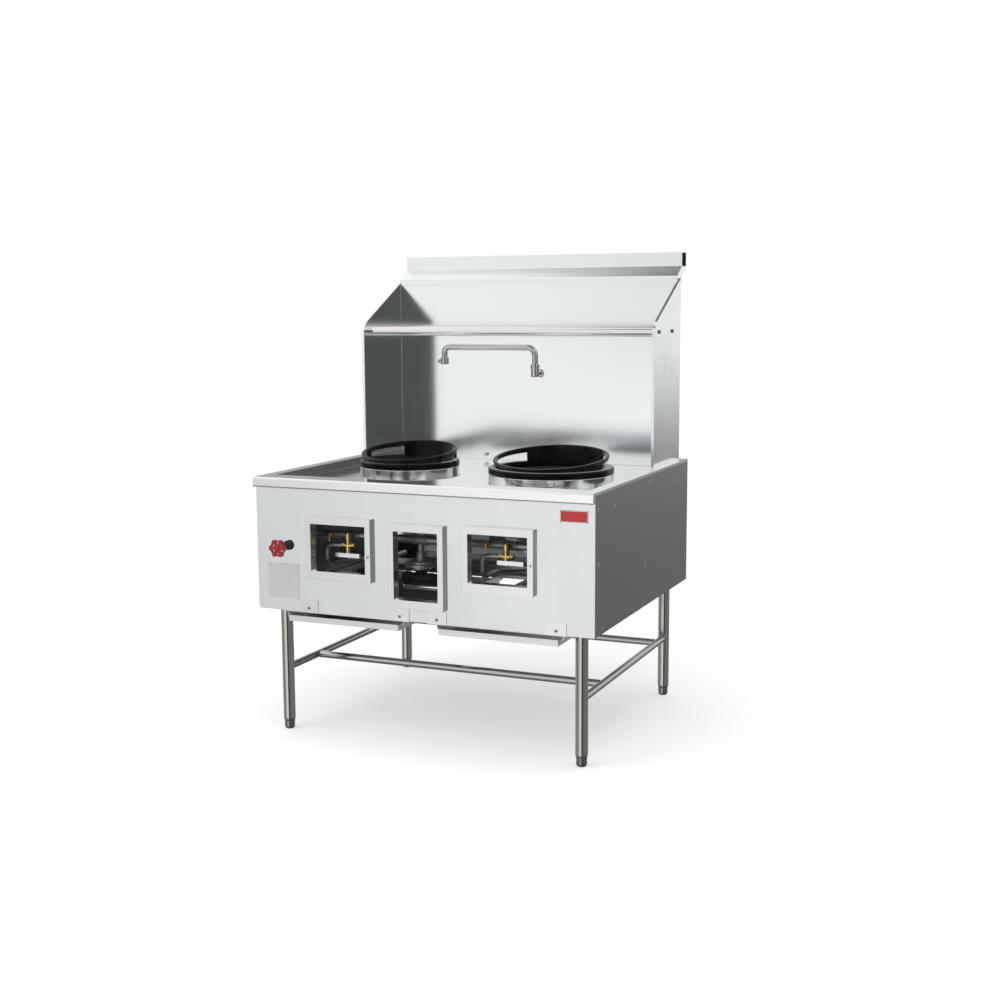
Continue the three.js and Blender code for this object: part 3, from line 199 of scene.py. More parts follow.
# %% Node group: cast skin
def make_cast_skin():
    tree, start, end = new_group(
        "Cast skin",
        [("Grain", "NodeSocketFloat", 700.0), ("Waves", "NodeSocketFloat", 60.0)],
        [("Pebble", "NodeSocketFloat"), ("Wave", "NodeSocketFloat")],
    )
    where = tree.nodes.new("ShaderNodeTexCoord").outputs["Object"]
    cells = add_node(tree, "TexVoronoi", {"Vector": where, "Scale": start.outputs["Grain"]})
    wave = add_node(tree, "TexNoise",
                    {"Vector": where, "Scale": start.outputs["Waves"], "Detail": 3.0})
    feed(tree, end, {"Pebble": cells.outputs["Distance"], "Wave": wave.outputs["Fac"]})
    return tree


cast_skin = make_cast_skin()
print("group:", cast_skin.name)

# %% [markdown]
# Every sheet and tube uses the same recipe with its own numbers: the grain mixes two greys
# and lifts the roughness a little, the wiped marks change the roughness more slowly, and the
# grain is also a very low bump. The metal is fully metallic, so that number sits on the
# shader's own socket.

# %% Recipe: brushed or drawn metal
def blank_material(name):
    material = bpy.data.materials.new(name)
    material.use_nodes = True
    return material, material.node_tree, material.node_tree.nodes["Principled BSDF"]


def use_group(tree, group, **values):
    node = tree.nodes.new("ShaderNodeGroup")
    node.node_tree = group
    for label, value in values.items():
        node.inputs[label].default_value = value
    return node


def add_bump(tree, shader, height, strength, distance):
    bump = add_node(tree, "Bump",
                    {"Strength": strength, "Distance": distance, "Height": height})
    tree.links.new(bump.outputs["Normal"], shader.inputs["Normal"])


GRAIN_ROUGHNESS, GRAIN_DEPTH = 0.04, 0.0004


def metal(name, dark, light, roughness, stretch, contrast=1.0, marks=0.03, bump=0.1):
    material, tree, shader = blank_material(name)
    grain = use_group(tree, brushed_grain, Stretch=stretch, Contrast=contrast)
    smear = use_group(tree, wiped_marks)
    fine = map_value(tree, grain.outputs["Streak"], roughness - GRAIN_ROUGHNESS,
                     roughness + GRAIN_ROUGHNESS)
    broad = map_value(tree, smear.outputs["Marks"], -marks, marks)
    feed(tree, shader, {
        "Metallic": 1.0,
        "Base Color": mix_colour(tree, grain.outputs["Streak"], dark, light),
        "Roughness": do_math(tree, "ADD", fine, broad),
    })
    add_bump(tree, shader, grain.outputs["Height"], bump, GRAIN_DEPTH)
    return material


print("recipe: metal")

# %% [markdown]
# Each call below is one finish: its darker and lighter grey, its roughness, how the grain is
# stretched along x, y and z, then the contrast, the marks and the bump. The greys were set
# against the photograph, where the tubes and the side panels are much darker than the sheet.
# That darkness is painted shade: the side panel, tube, bar and rail greys are darker copies of
# the same steel.

# %% Metals
apron_steel = metal("apron steel", (0.81, 0.84, 0.85), (0.90, 0.93, 0.94), 0.35, (5, 60, 420), 0.8)
deck_steel = metal("deck steel", (0.80, 0.815, 0.82), (0.89, 0.90, 0.90), 0.12, (4, 320, 60),
                   0.8, 0.02, 0.03)
back_steel = metal("backguard steel", (0.80, 0.83, 0.84), (0.88, 0.91, 0.92), 0.14, (420, 60, 5),
                   0.6, 0.02, 0.02)
wing_steel = metal("wing steel", (0.72, 0.75, 0.755), (0.84, 0.87, 0.87), 0.20, (60, 9, 120),
                   1.0, 0.08, 0.05)
cap_steel = metal("cap steel", (0.78, 0.81, 0.82), (0.88, 0.91, 0.92), 0.20, (5, 320, 320),
                  0.7, 0.02, 0.03)
bright_steel = metal("bright steel", (0.74, 0.755, 0.76), (0.82, 0.835, 0.84), 0.24, (90, 90, 90),
                     0.6)
polished_steel = metal("polished steel", (0.46, 0.465, 0.46), (0.58, 0.585, 0.58), 0.09, (60, 60, 60),
                       0.5, 0.02, 0.03)
# the collar's strong grain contrast paints light and dark reflection stripes into its colour
collar_steel_painted_stripes = metal("rolled collar steel, painted reflection stripes", (0.76, 0.78, 0.78), (0.98, 0.98, 0.97), 0.11, (40, 40, 1),
                     2.4, 0.02, 0.6)
tray_steel = metal("tray steel", (0.76, 0.775, 0.78), (0.86, 0.875, 0.88), 0.34, (160, 5, 160))
# the side panels' dark grey is painted shade, a darker copy of the sheet steel
shaded_side_steel = metal("side panel steel, painted shade", (0.26, 0.275, 0.262), (0.34, 0.355, 0.342), 0.34, (60, 5, 300))
# legs: a darker copy of the sheet steel, painted shade
shaded_tube_steel = metal("drawn tube", (0.42, 0.42, 0.39), (0.52, 0.52, 0.485), 0.15, (250, 250, 6), 0.9)
# cross bars: a darker copy of the sheet steel, painted shade
shaded_bar_steel = metal("drawn bar, painted shade", (0.44, 0.435, 0.42), (0.53, 0.525, 0.51), 0.14, (6, 250, 250), 0.9)
rack_steel = metal("rack tube steel", (0.68, 0.675, 0.66), (0.78, 0.775, 0.76), 0.12, (6, 250, 250),
                   0.9)
# side rails: a darker copy of the sheet steel, painted shade
shaded_rail_steel = metal("drawn rail, painted shade", (0.34, 0.335, 0.31), (0.45, 0.445, 0.42), 0.15, (250, 6, 250), 0.9)
foot_steel = metal("foot steel", (0.20, 0.20, 0.19), (0.33, 0.33, 0.31), 0.30, (120, 120, 30))
screw_steel = metal("screw steel", (0.24, 0.24, 0.24), (0.38, 0.38, 0.37), 0.35, (900, 900, 900))
zinc = metal("zinc coat", (0.34, 0.355, 0.36), (0.48, 0.495, 0.50), 0.46, (35, 35, 35), 1.6, 0.1)
brass = metal("machined brass", (0.60, 0.41, 0.13), (0.84, 0.62, 0.26), 0.22, (120, 120, 400),
              0.9, 0.08)
print("metals:", len(bpy.data.materials))

# %% [markdown]
# The rings are cast iron under black enamel: a near-black dielectric with a low gloss and
# long soft waves. The burners and the gas pipe are plain black iron, rougher, and a little
# brown where the heat has worked on them.

# %% Black enamel and black iron
def iron(name, dark, light, roughness, coat, pebble, wave, gloss):
    material, tree, shader = blank_material(name)
    skin = use_group(tree, cast_skin)
    marks = use_group(tree, wiped_marks, Broad=9.0, Small=60.0).outputs["Marks"]
    feed(tree, shader, {
        "Coat Weight": coat,
        "Coat Roughness": 0.10,
        "Specular IOR Level": gloss,
        "Base Color": mix_colour(tree, marks, dark, light),
        "Roughness": map_value(tree, marks, roughness - 0.06, roughness + 0.08),
    })
    waves = do_math(tree, "MULTIPLY", skin.outputs["Wave"], wave)
    height = do_math(tree, "MULTIPLY_ADD", skin.outputs["Pebble"], pebble, waves)
    add_bump(tree, shader, height, 0.5, 0.0008)
    return material


ring_enamel = iron("ring enamel", (0.002, 0.002, 0.003), (0.004, 0.005, 0.006), 0.20,
                   coat=0.04, pebble=0.05, wave=0.5, gloss=0.12)
black_iron = iron("black iron", (0.012, 0.011, 0.011), (0.035, 0.028, 0.024), 0.55,
                  coat=0.0, pebble=0.8, wave=0.5, gloss=0.3)
print("irons:", ring_enamel.name, black_iron.name)

# %% [markdown]
# Firebrick is chalky and warm, sooty near the flame. Paint and the two bare plates are
# simple dielectrics whose roughness still wanders a little.

# %% Firebrick, paint and plates
def plain(name, dark, light, roughness, coat=0.0, bump=0.1):
    material, tree, shader = blank_material(name)
    skin = use_group(tree, cast_skin, Grain=420.0, Waves=35.0)
    smear = use_group(tree, wiped_marks, Broad=6.0, Small=45.0)
    feed(tree, shader, {
        "Coat Weight": coat,
        "Base Color": mix_colour(tree, smear.outputs["Marks"], dark, light),
        "Roughness": map_value(tree, skin.outputs["Wave"], roughness - 0.08, roughness + 0.08),
    })
    add_bump(tree, shader, skin.outputs["Pebble"], bump, 0.0006)
    return material


firebrick = plain("sooty firebrick", (0.018, 0.015, 0.013), (0.085, 0.072, 0.058), 0.9, bump=0.6)
red_paint = plain("red paint", (0.36, 0.006, 0.016), (0.48, 0.010, 0.026), 0.36, coat=0.08, bump=0.05)
badge_red = plain("badge red", (0.60, 0.030, 0.034), (0.70, 0.044, 0.046), 0.34, coat=0.1, bump=0.02)
plate_face = plain("plate face", (0.70, 0.69, 0.67), (0.78, 0.77, 0.75), 0.42, bump=0.04)
print("materials:", len(bpy.data.materials))

# %% [markdown]
# ## Shaping helpers
# Each piece is gathered in one mesh from a few plain operations, the same that a workshop
# uses: turning, drawing a bar, bending a tube, folding a sheet. A helper for each adds to a
# mesh under construction, and one more helper finishes the piece: it rounds the sharp edges
# a little, shades it smoothly, and hangs it on the body that carries it.

# %% Helpers: bars, boxes and turned shapes
def add_faces(bm, rings, slot=0):
    """Joins each ring of points to the next one, and closes both ends."""
    count = len(rings[0])
    made = [bm.faces.new((low[i], low[(i + 1) % count], high[(i + 1) % count], high[i]))
            for low, high in zip(rings, rings[1:]) for i in range(count)]
    made.append(bm.faces.new(list(reversed(rings[0]))))
    made.append(bm.faces.new(rings[-1]))
    for face in made:
        face.material_index = slot


def add_slab(bm, outline, heights):
    """Lifts an outline of (x, y) from one height to the next."""
    add_faces(bm, [[bm.verts.new(place(x, y, z)) for x, y in outline] for z in heights])


def side_vectors(along):
    helper = Vector((0, 0, 1)) if abs(along.z) < 0.9 else Vector((0, 1, 0))
    first = along.cross(helper).normalized()
    return first, along.cross(first).normalized()


def ring_of_points(bm, centre, radius, first, second, sides):
    angles = (2 * math.pi * i / sides for i in range(sides))
    return [bm.verts.new(centre + radius * (math.cos(a) * first + math.sin(a) * second))
            for a in angles]


def add_turned(bm, start, end, profile, sides=48, slot=0):
    """Turns a profile of (distance from start in mm, radius in mm) about a straight line."""
    origin = place(*start)
    along = (place(*end) - origin).normalized()
    add_faces(bm, [
        ring_of_points(bm, origin + along * distance * MM, max(radius, 0.01) * MM,
                       *side_vectors(along), sides)
        for distance, radius in profile], slot)


def add_bar(bm, radius, start, end, sides=32, slot=0):
    length = (place(*end) - place(*start)).length / MM
    add_turned(bm, start, end, [(0, radius), (length, radius)], sides, slot)


def add_nut(bm, across_flats, start, end, slot=0):
    """A hexagon with its corners turned off, as on a real nut."""
    length = (place(*end) - place(*start)).length / MM
    corner = across_flats / 2 / math.cos(math.pi / 6)
    add_turned(bm, start, end, [(0, corner * 0.93), (0.8, corner), (length - 0.8, corner),
                                (length, corner * 0.93)], 6, slot)


def add_box(bm, x, y, z, slot=0):
    low, high = place(x[0], y[0], z[0]), place(x[1], y[1], z[1])
    made = bmesh.ops.create_cube(bm, size=1.0)
    for vertex in made["verts"]:
        for axis in range(3):
            middle = (low[axis] + high[axis]) / 2
            vertex.co[axis] = middle + vertex.co[axis] * (high[axis] - low[axis])
    for face in {face for vertex in made["verts"] for face in vertex.link_faces}:
        face.material_index = slot


def add_lathe(bm, profile, x, y, sides=96, slot=0):
    """Turns a closed ring of (radius, z) about an upright line."""
    centre = place(x, y, 0)
    rings = []
    for i in range(sides):
        c, s = math.cos(2 * math.pi * i / sides), math.sin(2 * math.pi * i / sides)
        rings.append([bm.verts.new(centre + Vector((r * c, r * s, z)) * MM) for r, z in profile])
    for this, following in zip(rings, rings[1:] + rings[:1]):
        for k in range(len(profile)):
            m = (k + 1) % len(profile)
            bm.faces.new((this[k], following[k], following[m], this[m])).material_index = slot


print("helpers: turned, bar, nut, slab, box, lathe")

# %% [markdown]
# A bent tube is a circle carried along its centre line. The line is straight between bends,
# and each bend is a short curve, with more steps than the solids have.

# %% Helpers: bent tubes
def bend_path(corners, bend, steps=8):
    """Straight runs joined by bends. The bends share one size, or a list gives each its own."""
    points = [Vector(corner) for corner in corners]
    sizes = bend if isinstance(bend, list) else [bend] * (len(points) - 2)
    path = [points[0]]
    for before, corner, after, size in zip(points, points[1:], points[2:], sizes):
        into, out = before - corner, after - corner
        reach = min(size, into.length * 0.45, out.length * 0.45)
        start = corner + into.normalized() * reach
        end = corner + out.normalized() * reach
        for i in range(steps + 1):
            t = i / steps
            path.append(start * (1 - t) ** 2 + corner * 2 * t * (1 - t) + end * t ** 2)
    path.append(points[-1])
    return path


def add_bent_tube(bm, radius, corners, bend, sides, steps=8):
    path = bend_path(corners, bend, steps)
    rings = []
    first = None
    for i, point in enumerate(path):
        along = (path[min(i + 1, len(path) - 1)] - path[max(i - 1, 0)]).normalized()
        if first is None:
            first, second = side_vectors(along)
        first = (first - along * first.dot(along)).normalized()
        second = along.cross(first)
        rings.append(ring_of_points(bm, place(*point), radius * MM, first, second, sides))
    add_faces(bm, rings)


print("a bend has", len(bend_path([(0, 0, 0), (50, 0, 0), (50, 50, 0)], 20)), "points")

# %% [markdown]
# Finishing a piece always takes the same steps. The edge that catches the light is a small
# bevel, limited to real corners. Then the normals are weighted by face size, so that a broad
# flat face stays flat in its reflections and only the fold beside it looks round. Folded
# sheets keep the solid's own shape: its triangles are merged into whole faces first, or the
# bevel would follow every triangle. Satin sheet on the real range shows no blurred twin of a
# piece that stands before it, so some pieces are kept out of mirror rays: the window frames,
# rings, collars, liners and burners, the wheel with its valve, and the spout.

# %% Helpers: finish a piece, and soften a folded sheet
def as_mesh(bm, name):
    mesh = bpy.data.meshes.new(name)
    bm.to_mesh(mesh)
    bm.free()
    return mesh


def add_object(name, data):
    obj = bpy.data.objects.new(name, data)
    bpy.context.scene.collection.objects.link(obj)
    return obj


def round_edges(obj, width, angle):
    if width:
        bevel = obj.modifiers.new("rounded edge", "BEVEL")
        bevel.width = width * MM
        bevel.segments = 2
        bevel.limit_method = "ANGLE"
        bevel.angle_limit = math.radians(angle)
    flat = obj.modifiers.new("flat faces stay flat", "WEIGHTED_NORMAL")
    flat.keep_sharp = True


def finish_piece(bm, name, materials, stands_for=(), edge=0.4, sharp=35, body="cabinet"):
    bmesh.ops.recalc_face_normals(bm, faces=bm.faces)
    mesh = as_mesh(bm, name)
    mesh.shade_smooth()
    mesh.set_sharp_from_angle(angle=math.radians(sharp))
    obj = add_object(name, mesh)
    for material in materials:
        mesh.materials.append(material)
    round_edges(obj, edge, sharp)
    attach(obj, body)
    if stands_for:
        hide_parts(*stands_for)
    return obj


def soften(node, name, material, body, edge, sharp=30):
    bm = bmesh.new()
    bm.from_mesh(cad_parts[node].data)
    bmesh.ops.remove_doubles(bm, verts=bm.verts, dist=1e-6)
    bmesh.ops.dissolve_limit(bm, angle_limit=math.radians(0.5), verts=bm.verts, edges=bm.edges)
    for face in bm.faces:
        face.material_index = 0
    return finish_piece(bm, name, [material], [node], edge, sharp, body)


def keep_out_of_mirrors(*pieces):
    for piece in pieces:
        piece.visible_glossy = False


print("ready to build")

# %% [markdown]
# ## Under-frame
# The legs are drawn stainless tube with a bullet foot that screws in and out. A tube is
# turned as a hollow ring, so its open end shows its wall.

# %% Legs and feet
LEG_X, LEG_FRONT, LEG_REAR = 542.5, 68, 969
LEG_RADIUS, LEG_BORE = 20.65, 19.05
LEG_LOW, LEG_TOP = 38.3, 485.7
PLUG_TOP, SCREW_BORE = 54.3, 6.3
LEG = {f"{end}_{side}": (x, y)
       for end, y in (("front", LEG_FRONT), ("rear", LEG_REAR))
       for side, x in (("left", -LEG_X), ("right", LEG_X))}
for name, (x, y) in LEG.items():
    bm = bmesh.new()
    add_lathe(bm, [
        (LEG_BORE, LEG_TOP), (LEG_BORE, PLUG_TOP), (SCREW_BORE, PLUG_TOP), (SCREW_BORE, LEG_LOW),
        (LEG_RADIUS - 0.6, LEG_LOW), (LEG_RADIUS, LEG_LOW + 0.6), (LEG_RADIUS, LEG_TOP)], x, y, 64)
    # the leg tube's dark grey is painted shade
    finish_piece(bm, f"leg_tube_{name}", [shaded_tube_steel], [f"leg_{name}"], 0)
    bm = bmesh.new()
    add_turned(bm, (x, y, 0), (x, y, 100), [
        (0, 11.5), (0.6, 12.6), (3.0, 15.3), (6.0, 17.0), (9.0, 17.5), (28.5, 17.5), (29.2, 17.1),
        (30.0, 17.5), (32.0, 19.2), (33.0, 19.65), (37.4, 19.65), (38.0, 19.2), (38.0, 6.0),
        (87.3, 6.0)], 48)
    finish_piece(bm, f"bullet_foot_{name}", [foot_steel], [f"foot_{name}"], 0, 40,
                 body=f"adjusting_foot_{name}")
print("legs:", len(LEG))

# %% [markdown]
# The stretchers are welded between the legs. The real joint is a narrow bead of weld, so each
# end gets a thin ring with a slightly rough colour.

# %% Stretchers and their welds
RAIL_RADIUS, RAIL_HEIGHT = 12.7, 219
CROSS_RAILS = {"front": 270, "rear": 885}


def add_weld(bm, centre, along, radius, slot):
    a = Vector(centre)
    bead = [(-1.6, radius - 0.5), (-1.2, radius + 1.0), (0, radius + 1.6), (1.2, radius + 1.0),
            (1.6, radius - 0.5)]
    add_turned(bm, a, a + Vector(along) * 10, bead, 32, slot)


for side, x in (("left", -LEG_X), ("right", LEG_X)):
    bm = bmesh.new()
    add_bar(bm, RAIL_RADIUS, (x, LEG_FRONT + 19.5, RAIL_HEIGHT), (x, LEG_REAR - 19.5, RAIL_HEIGHT),
            40)
    add_weld(bm, (x, LEG_FRONT + 20, RAIL_HEIGHT), (0, 1, 0), RAIL_RADIUS, 1)
    add_weld(bm, (x, LEG_REAR - 20, RAIL_HEIGHT), (0, -1, 0), RAIL_RADIUS, 1)
    # the side rail's dark grey is painted shade
    finish_piece(bm, f"side_rail_{side}", [shaded_rail_steel, zinc],
                 [f"side_stretcher_{side}"], 0)
for end, y in CROSS_RAILS.items():
    bm = bmesh.new()
    add_bar(bm, RAIL_RADIUS, (12 - LEG_X, y, RAIL_HEIGHT), (LEG_X - 12, y, RAIL_HEIGHT), 40)
    for sign in (-1, 1):
        add_weld(bm, (sign * (LEG_X - 12.2), y, RAIL_HEIGHT), (-sign, 0, 0), RAIL_RADIUS - 0.6, 1)
    # the cross rail's dark grey is painted shade
    finish_piece(bm, f"cross_rail_{end}", [shaded_bar_steel, zinc], [f"cross_bar_{end}"], 0)
print("stretchers: 4")

# %% [markdown]
# ## Cabinet
# Folded sheets keep the solid's shape and get a press-brake edge, wider on the window frames
# and on the hem of the left wing. The front is brushed along its length. The side panels get a
# darker copy of the same steel, which is painted shade.

# %% Folded sheets
SHEETS = [
    ("front_apron", "apron_sheet", apron_steel, "cabinet", "brushed_steel"),
    ("rear_panel", "rear_sheet", apron_steel, "cabinet", "brushed_steel"),
    ("window_frame_left", "left_window_frame", bright_steel, "cabinet", "polished_steel"),
    ("window_frame_middle", "middle_window_frame", bright_steel, "cabinet", "polished_steel"),
    ("window_frame_right", "right_window_frame", bright_steel, "cabinet", "polished_steel"),
    ("deck_pan", "wet_deck", deck_steel, "cabinet", "brushed_steel"),
    ("base_frame", "angle_frame", zinc, "cabinet", "galvanised"),
    ("tray_hanger_left", "left_tray_runners", bright_steel, "cabinet", "polished_steel"),
    ("tray_hanger_right", "right_tray_runners", bright_steel, "cabinet", "polished_steel"),
    ("back_panel", "splash_back", back_steel, "cabinet", "brushed_steel"),
    ("wing_left", "left_wing", back_steel, "cabinet", "dark_steel"),
    ("wing_right", "right_wing", wing_steel, "cabinet", "brushed_steel"),
    ("top_cap", "folded_cap", cap_steel, "cabinet", "brushed_steel"),
    ("drip_tray_left", "left_drip_tray", tray_steel, "left_tray", "brushed_steel"),
    ("drip_tray_right", "right_drip_tray", tray_steel, "right_tray", "brushed_steel"),
    ("valve_lever_left", "left_lever", bright_steel, "left_lever", "polished_steel"),
    ("valve_lever_right", "right_lever", bright_steel, "right_lever", "polished_steel"),
]
SHEET_EDGE, FRAME_EDGE, HEM_EDGE = 0.4, 0.55, 3.5
for node, name, material, body, slot in SHEETS:
    if node.startswith("window_frame"):
        keep_out_of_mirrors(soften(node, name, material, body, FRAME_EDGE))
    else:
        soften(node, name, material, body, HEM_EDGE if node == "wing_left" else SHEET_EDGE)
print("sheets:", len(SHEETS))

# %% [markdown]
# The cap is one sheet folded round a hollow. A small cheek closes each end as far up as the
# fascia, whose own end stays open. A thin strip of dark steel where its lower edge meets the
# splash back is painted shade, the shadow line of the gap there.

# %% Cap cheeks and painted shadow line
CHEEK = [(1012.2, 1541), (1012.2, 1565), (1071, 1602.6), (1122.8, 1602.6), (1063, 1564),
         (1063, 1541)]
for side, sign in (("left", -1), ("right", 1)):
    bm = bmesh.new()
    add_faces(bm, [[bm.verts.new(place(sign * x, y, z)) for y, z in CHEEK] for x in (565.8, 567.2)])
    finish_piece(bm, f"cap_cheek_{side}", [cap_steel], edge=0)
bm = bmesh.new()
# a thin dark strip under the cap's lower edge: painted shade for the gap
add_box(bm, (-567, 567), (1010.8, 1012), (1537.3, 1539.1))
finish_piece(bm, "cap_shadow_line", [shaded_side_steel], edge=0)
print("cap cheeks: 2, joint: 1")

# %% [markdown]
# The side panels are held by countersunk screws, whose heads lie just below the sheet so that
# a cloth runs over them. Each dimple is a real cone cut into the panel. The tabs of the tray
# runners have pan heads, which stand proud.

# %% Side panels with their countersinks
SIDE_FACE = 609.5
SIDE_SCREWS = [(30, 839), (196, 828), (560, 862), (853, 834), (30, 666), (518, 581), (1008, 524),
               (72, 457)]


def cut_with(obj, cutter):
    gap = obj.modifiers.new("gap", "BOOLEAN")
    gap.operation = "DIFFERENCE"
    gap.solver = "EXACT"
    gap.object = cutter
    bpy.context.view_layer.update()
    mesh = bpy.data.meshes.new_from_object(obj.evaluated_get(bpy.context.evaluated_depsgraph_get()))
    obj.modifiers.clear()
    obj.data = mesh
    bpy.data.objects.remove(cutter)


def make_cutter(bm):
    bmesh.ops.recalc_face_normals(bm, faces=bm.faces)
    return add_object("cutter", as_mesh(bm, "cutter"))


for side, sign in (("left", -1), ("right", 1)):
    # the side sheet's dark grey steel is painted shade
    panel = soften(f"side_panel_{side}", f"{side}_side_sheet", shaded_side_steel, "cabinet", 0)
    bm = bmesh.new()
    for y, z in SIDE_SCREWS:
        add_turned(bm, (sign * (SIDE_FACE - 1.2), y, z), (sign * (SIDE_FACE + 1), y, z),
                   [(0, 4.2), (1.2, 6.4), (2.2, 8.0)], 28)
    cut_with(panel, make_cutter(bm))
    round_edges(panel, 0.4, 60)
print("countersinks:", 2 * len(SIDE_SCREWS))

# %% Screws
TAB_SCREWS, TAB_FACE, TAB_SCREW_HEIGHT = (-411, -68, 67, 481), -2, 452


def add_screw(bm, foot, outward, head):
    """A head turned about a line that runs outward from its foot."""
    add_turned(bm, foot, Vector(foot) + Vector(outward) * 10, head, 20)


FLUSH_HEAD = [(0, 3.9), (0.9, 5.5), (1.0, 5.2), (1.0, 1.6), (0.5, 1.4), (0.5, 0)]
PAN_HEAD = [(0, 5.2), (0.8, 5.1), (1.6, 4.4), (2.1, 2.8), (2.2, 1.6), (1.2, 1.3), (1.2, 0)]
bm = bmesh.new()
for sign in (-1, 1):
    for y, z in SIDE_SCREWS:
        add_screw(bm, (sign * (SIDE_FACE - 1.15), y, z), (sign, 0, 0), FLUSH_HEAD)
finish_piece(bm, "side_screws", [bright_steel], edge=0)
bm = bmesh.new()
for x in TAB_SCREWS:
    add_screw(bm, (x, TAB_FACE, TAB_SCREW_HEIGHT), (0, -1, 0), PAN_HEAD)
finish_piece(bm, "tab_screws", [screw_steel], edge=0)
print("screws:", 2 * len(SIDE_SCREWS) + len(TAB_SCREWS))

# %% [markdown]
# The plate and the badge are left bare. The badge has a pale rim, made as a thin raised
# border, and the plate is held by a rivet in each corner.

# %% Bare plates
soften("rating_plate", "bare_plate", plate_face, "cabinet", 0.3)
soften("front_badge", "bare_badge", badge_red, "cabinet", 0.3)
bm = bmesh.new()
left, right, low, high = 494.0, 587.0, 798.0, 836.0
RIM = 2.8
for x, z in (((left, right), (low, low + RIM)), ((left, right), (high - RIM, high)),
             ((left, left + RIM), (low, high)), ((right - RIM, right), (low, high))):
    add_box(bm, x, (-1.6, -1.1), z)
finish_piece(bm, "badge_rim", [plate_face], edge=0.1)
RIVETS = [(x, z) for x in (-563, -453) for z in (485, 595)]
bm = bmesh.new()
for x, z in RIVETS:
    add_turned(bm, (x, -1.2, z), (x, -11, z), [(0, 2.2), (0.6, 2.0), (1.0, 1.2), (1.1, 0)], 16)
finish_piece(bm, "plate_rivets", [bright_steel], edge=0)
print("plates: 2, rivets:", len(RIVETS))

# %% [markdown]
# ## Cooking stations
# Each ring is a turned casting whose upper wall leans up towards the back, so a wok tips
# towards the cook. It is turned level, two vents are cut through its wall on the left and the
# right, and then each point is lifted in proportion to how far back it lies. That slants the
# rim and the vents together, and keeps the plan round. The left ring's vents are cut 13 degrees
# round from the right ring's, as that ring was put down a little turned on its collar.

# %% Rings
DECK = 862
COLLAR_TOP = DECK + 35
STATIONS = {"left": (-250, 445, 177, 5), "right": (306, 409, 213, 15)}
RING_BASE, RING_RISE, RING_BEAD, SLOPE = 22, 56, 8, 0.113


def ring_slope(z, dy):
    share = (z - COLLAR_TOP - RING_BASE) / (RING_RISE - RING_BEAD - RING_BASE)
    return min(max(share, 0.0), 1.0) * SLOPE * dy


def ring_profile(collar, taper):
    base, top = collar + 1, collar - taper
    wall, bead = top - 3, RING_RISE - RING_BEAD
    inside, inside_top = base - 27, wall - 9
    outline = [
        (inside, 0), (base - 1.5, 0), (base, 1.5), (base, RING_BASE - 5),
        (base - 0.8, RING_BASE - 2.2), (base - 3, RING_BASE - 0.4), (base - 6, RING_BASE),
        (wall + 1.5, RING_BASE), (wall, RING_BASE + 2), (wall, bead - 1), (wall + 0.8, bead + 1.2),
        (top - 0.4, bead + 2.6), (top, RING_RISE - 4), (top - 0.9, RING_RISE - 1.4),
        (top - 3, RING_RISE), (inside_top + 3, RING_RISE), (inside_top + 0.8, RING_RISE - 1.6),
        (inside_top, RING_RISE - 5), (inside_top, RING_BASE),
    ]
    return [(radius, COLLAR_TOP + z) for radius, z in outline]


VENTS, VENT_TOP = ((-10, 43), (137, 190)), 42
TURNED = {"left": -13, "right": 0}
RING_EDGE, RING_SHARP = 0.9, 50


def vent_cutter(x, y, reach, start, end):
    bm = bmesh.new()
    angles = [math.radians(start + (end - start) * i / 8) for i in range(9)]
    outline = [(x, y)] + [(x + reach * math.cos(a), y + reach * math.sin(a)) for a in angles]
    add_slab(bm, outline, (COLLAR_TOP + RING_BASE, COLLAR_TOP + VENT_TOP))
    return make_cutter(bm)


def slant(obj, y):
    for vertex in obj.data.vertices:
        dy = vertex.co.y / MM - (y - FRONT_TO_ORIGIN)
        vertex.co.z += ring_slope(vertex.co.z / MM, dy) * MM


for side, (x, y, collar, taper) in STATIONS.items():
    bm = bmesh.new()
    add_lathe(bm, ring_profile(collar, taper), x, y, 144)
    ring = finish_piece(bm, f"ring_{side}", [ring_enamel], [f"wok_ring_{side}"], 0,
                        body=f"{side}_wok_ring")
    for start, end in VENTS:
        cut_with(ring, vent_cutter(x, y, collar + 20, start + TURNED[side], end + TURNED[side]))
    slant(ring, y)
    round_edges(ring, RING_EDGE, RING_SHARP)
    ring.data.shade_smooth()
    ring.data.set_sharp_from_angle(angle=math.radians(RING_SHARP))
    keep_out_of_mirrors(ring)
print("ring faces:", len(ring.data.polygons))

# %% [markdown]
# The collar under each ring is rolled from polished strip, welded to the deck with a thin
# bead, and closed with one upright seam. Rolling leaves faint upright flats, which turn what
# the collar mirrors into light and dark stripes, so its grain is upright and its bump strong.
# The grain's strong contrast also paints light and dark upright streaks into the colour, a
# painted reflection of those stripes.

# %% Collars
SEAM = math.radians(-62)
for side, (x, y, collar, _) in STATIONS.items():
    bm = bmesh.new()
    wall, seat = collar - 2, collar - 12
    add_lathe(bm, [
        (wall, DECK), (collar, DECK), (collar, COLLAR_TOP - 1.4), (collar - 0.5, COLLAR_TOP - 0.4),
        (collar - 1.5, COLLAR_TOP), (seat, COLLAR_TOP), (seat, COLLAR_TOP - 2),
        (wall, COLLAR_TOP - 2)], x, y, 144)
    add_lathe(bm, [(collar - 0.5, DECK - 0.4), (collar + 2.2, DECK - 0.2), (collar + 1.6, DECK + 1.2),
                   (collar - 0.5, DECK + 2.0)], x, y, 144, 1)
    sx, sy = x + collar * math.cos(SEAM), y + collar * math.sin(SEAM)
    add_bar(bm, 0.9, (sx, sy, DECK + 1), (sx, sy, COLLAR_TOP - 1), 8, 1)
    # the collar's colour streaks are painted reflection stripes
    rolled = finish_piece(bm, f"rolled_collar_{side}", [collar_steel_painted_stripes, zinc],
                          [f"collar_{side}"], 0)
    keep_out_of_mirrors(rolled)
print("collars: 2")

# %% [markdown]
# Under the deck hang the drum and its firebrick liner, a bowl that turns the flame up to the
# wok. Both are seen down the well and through the windows.

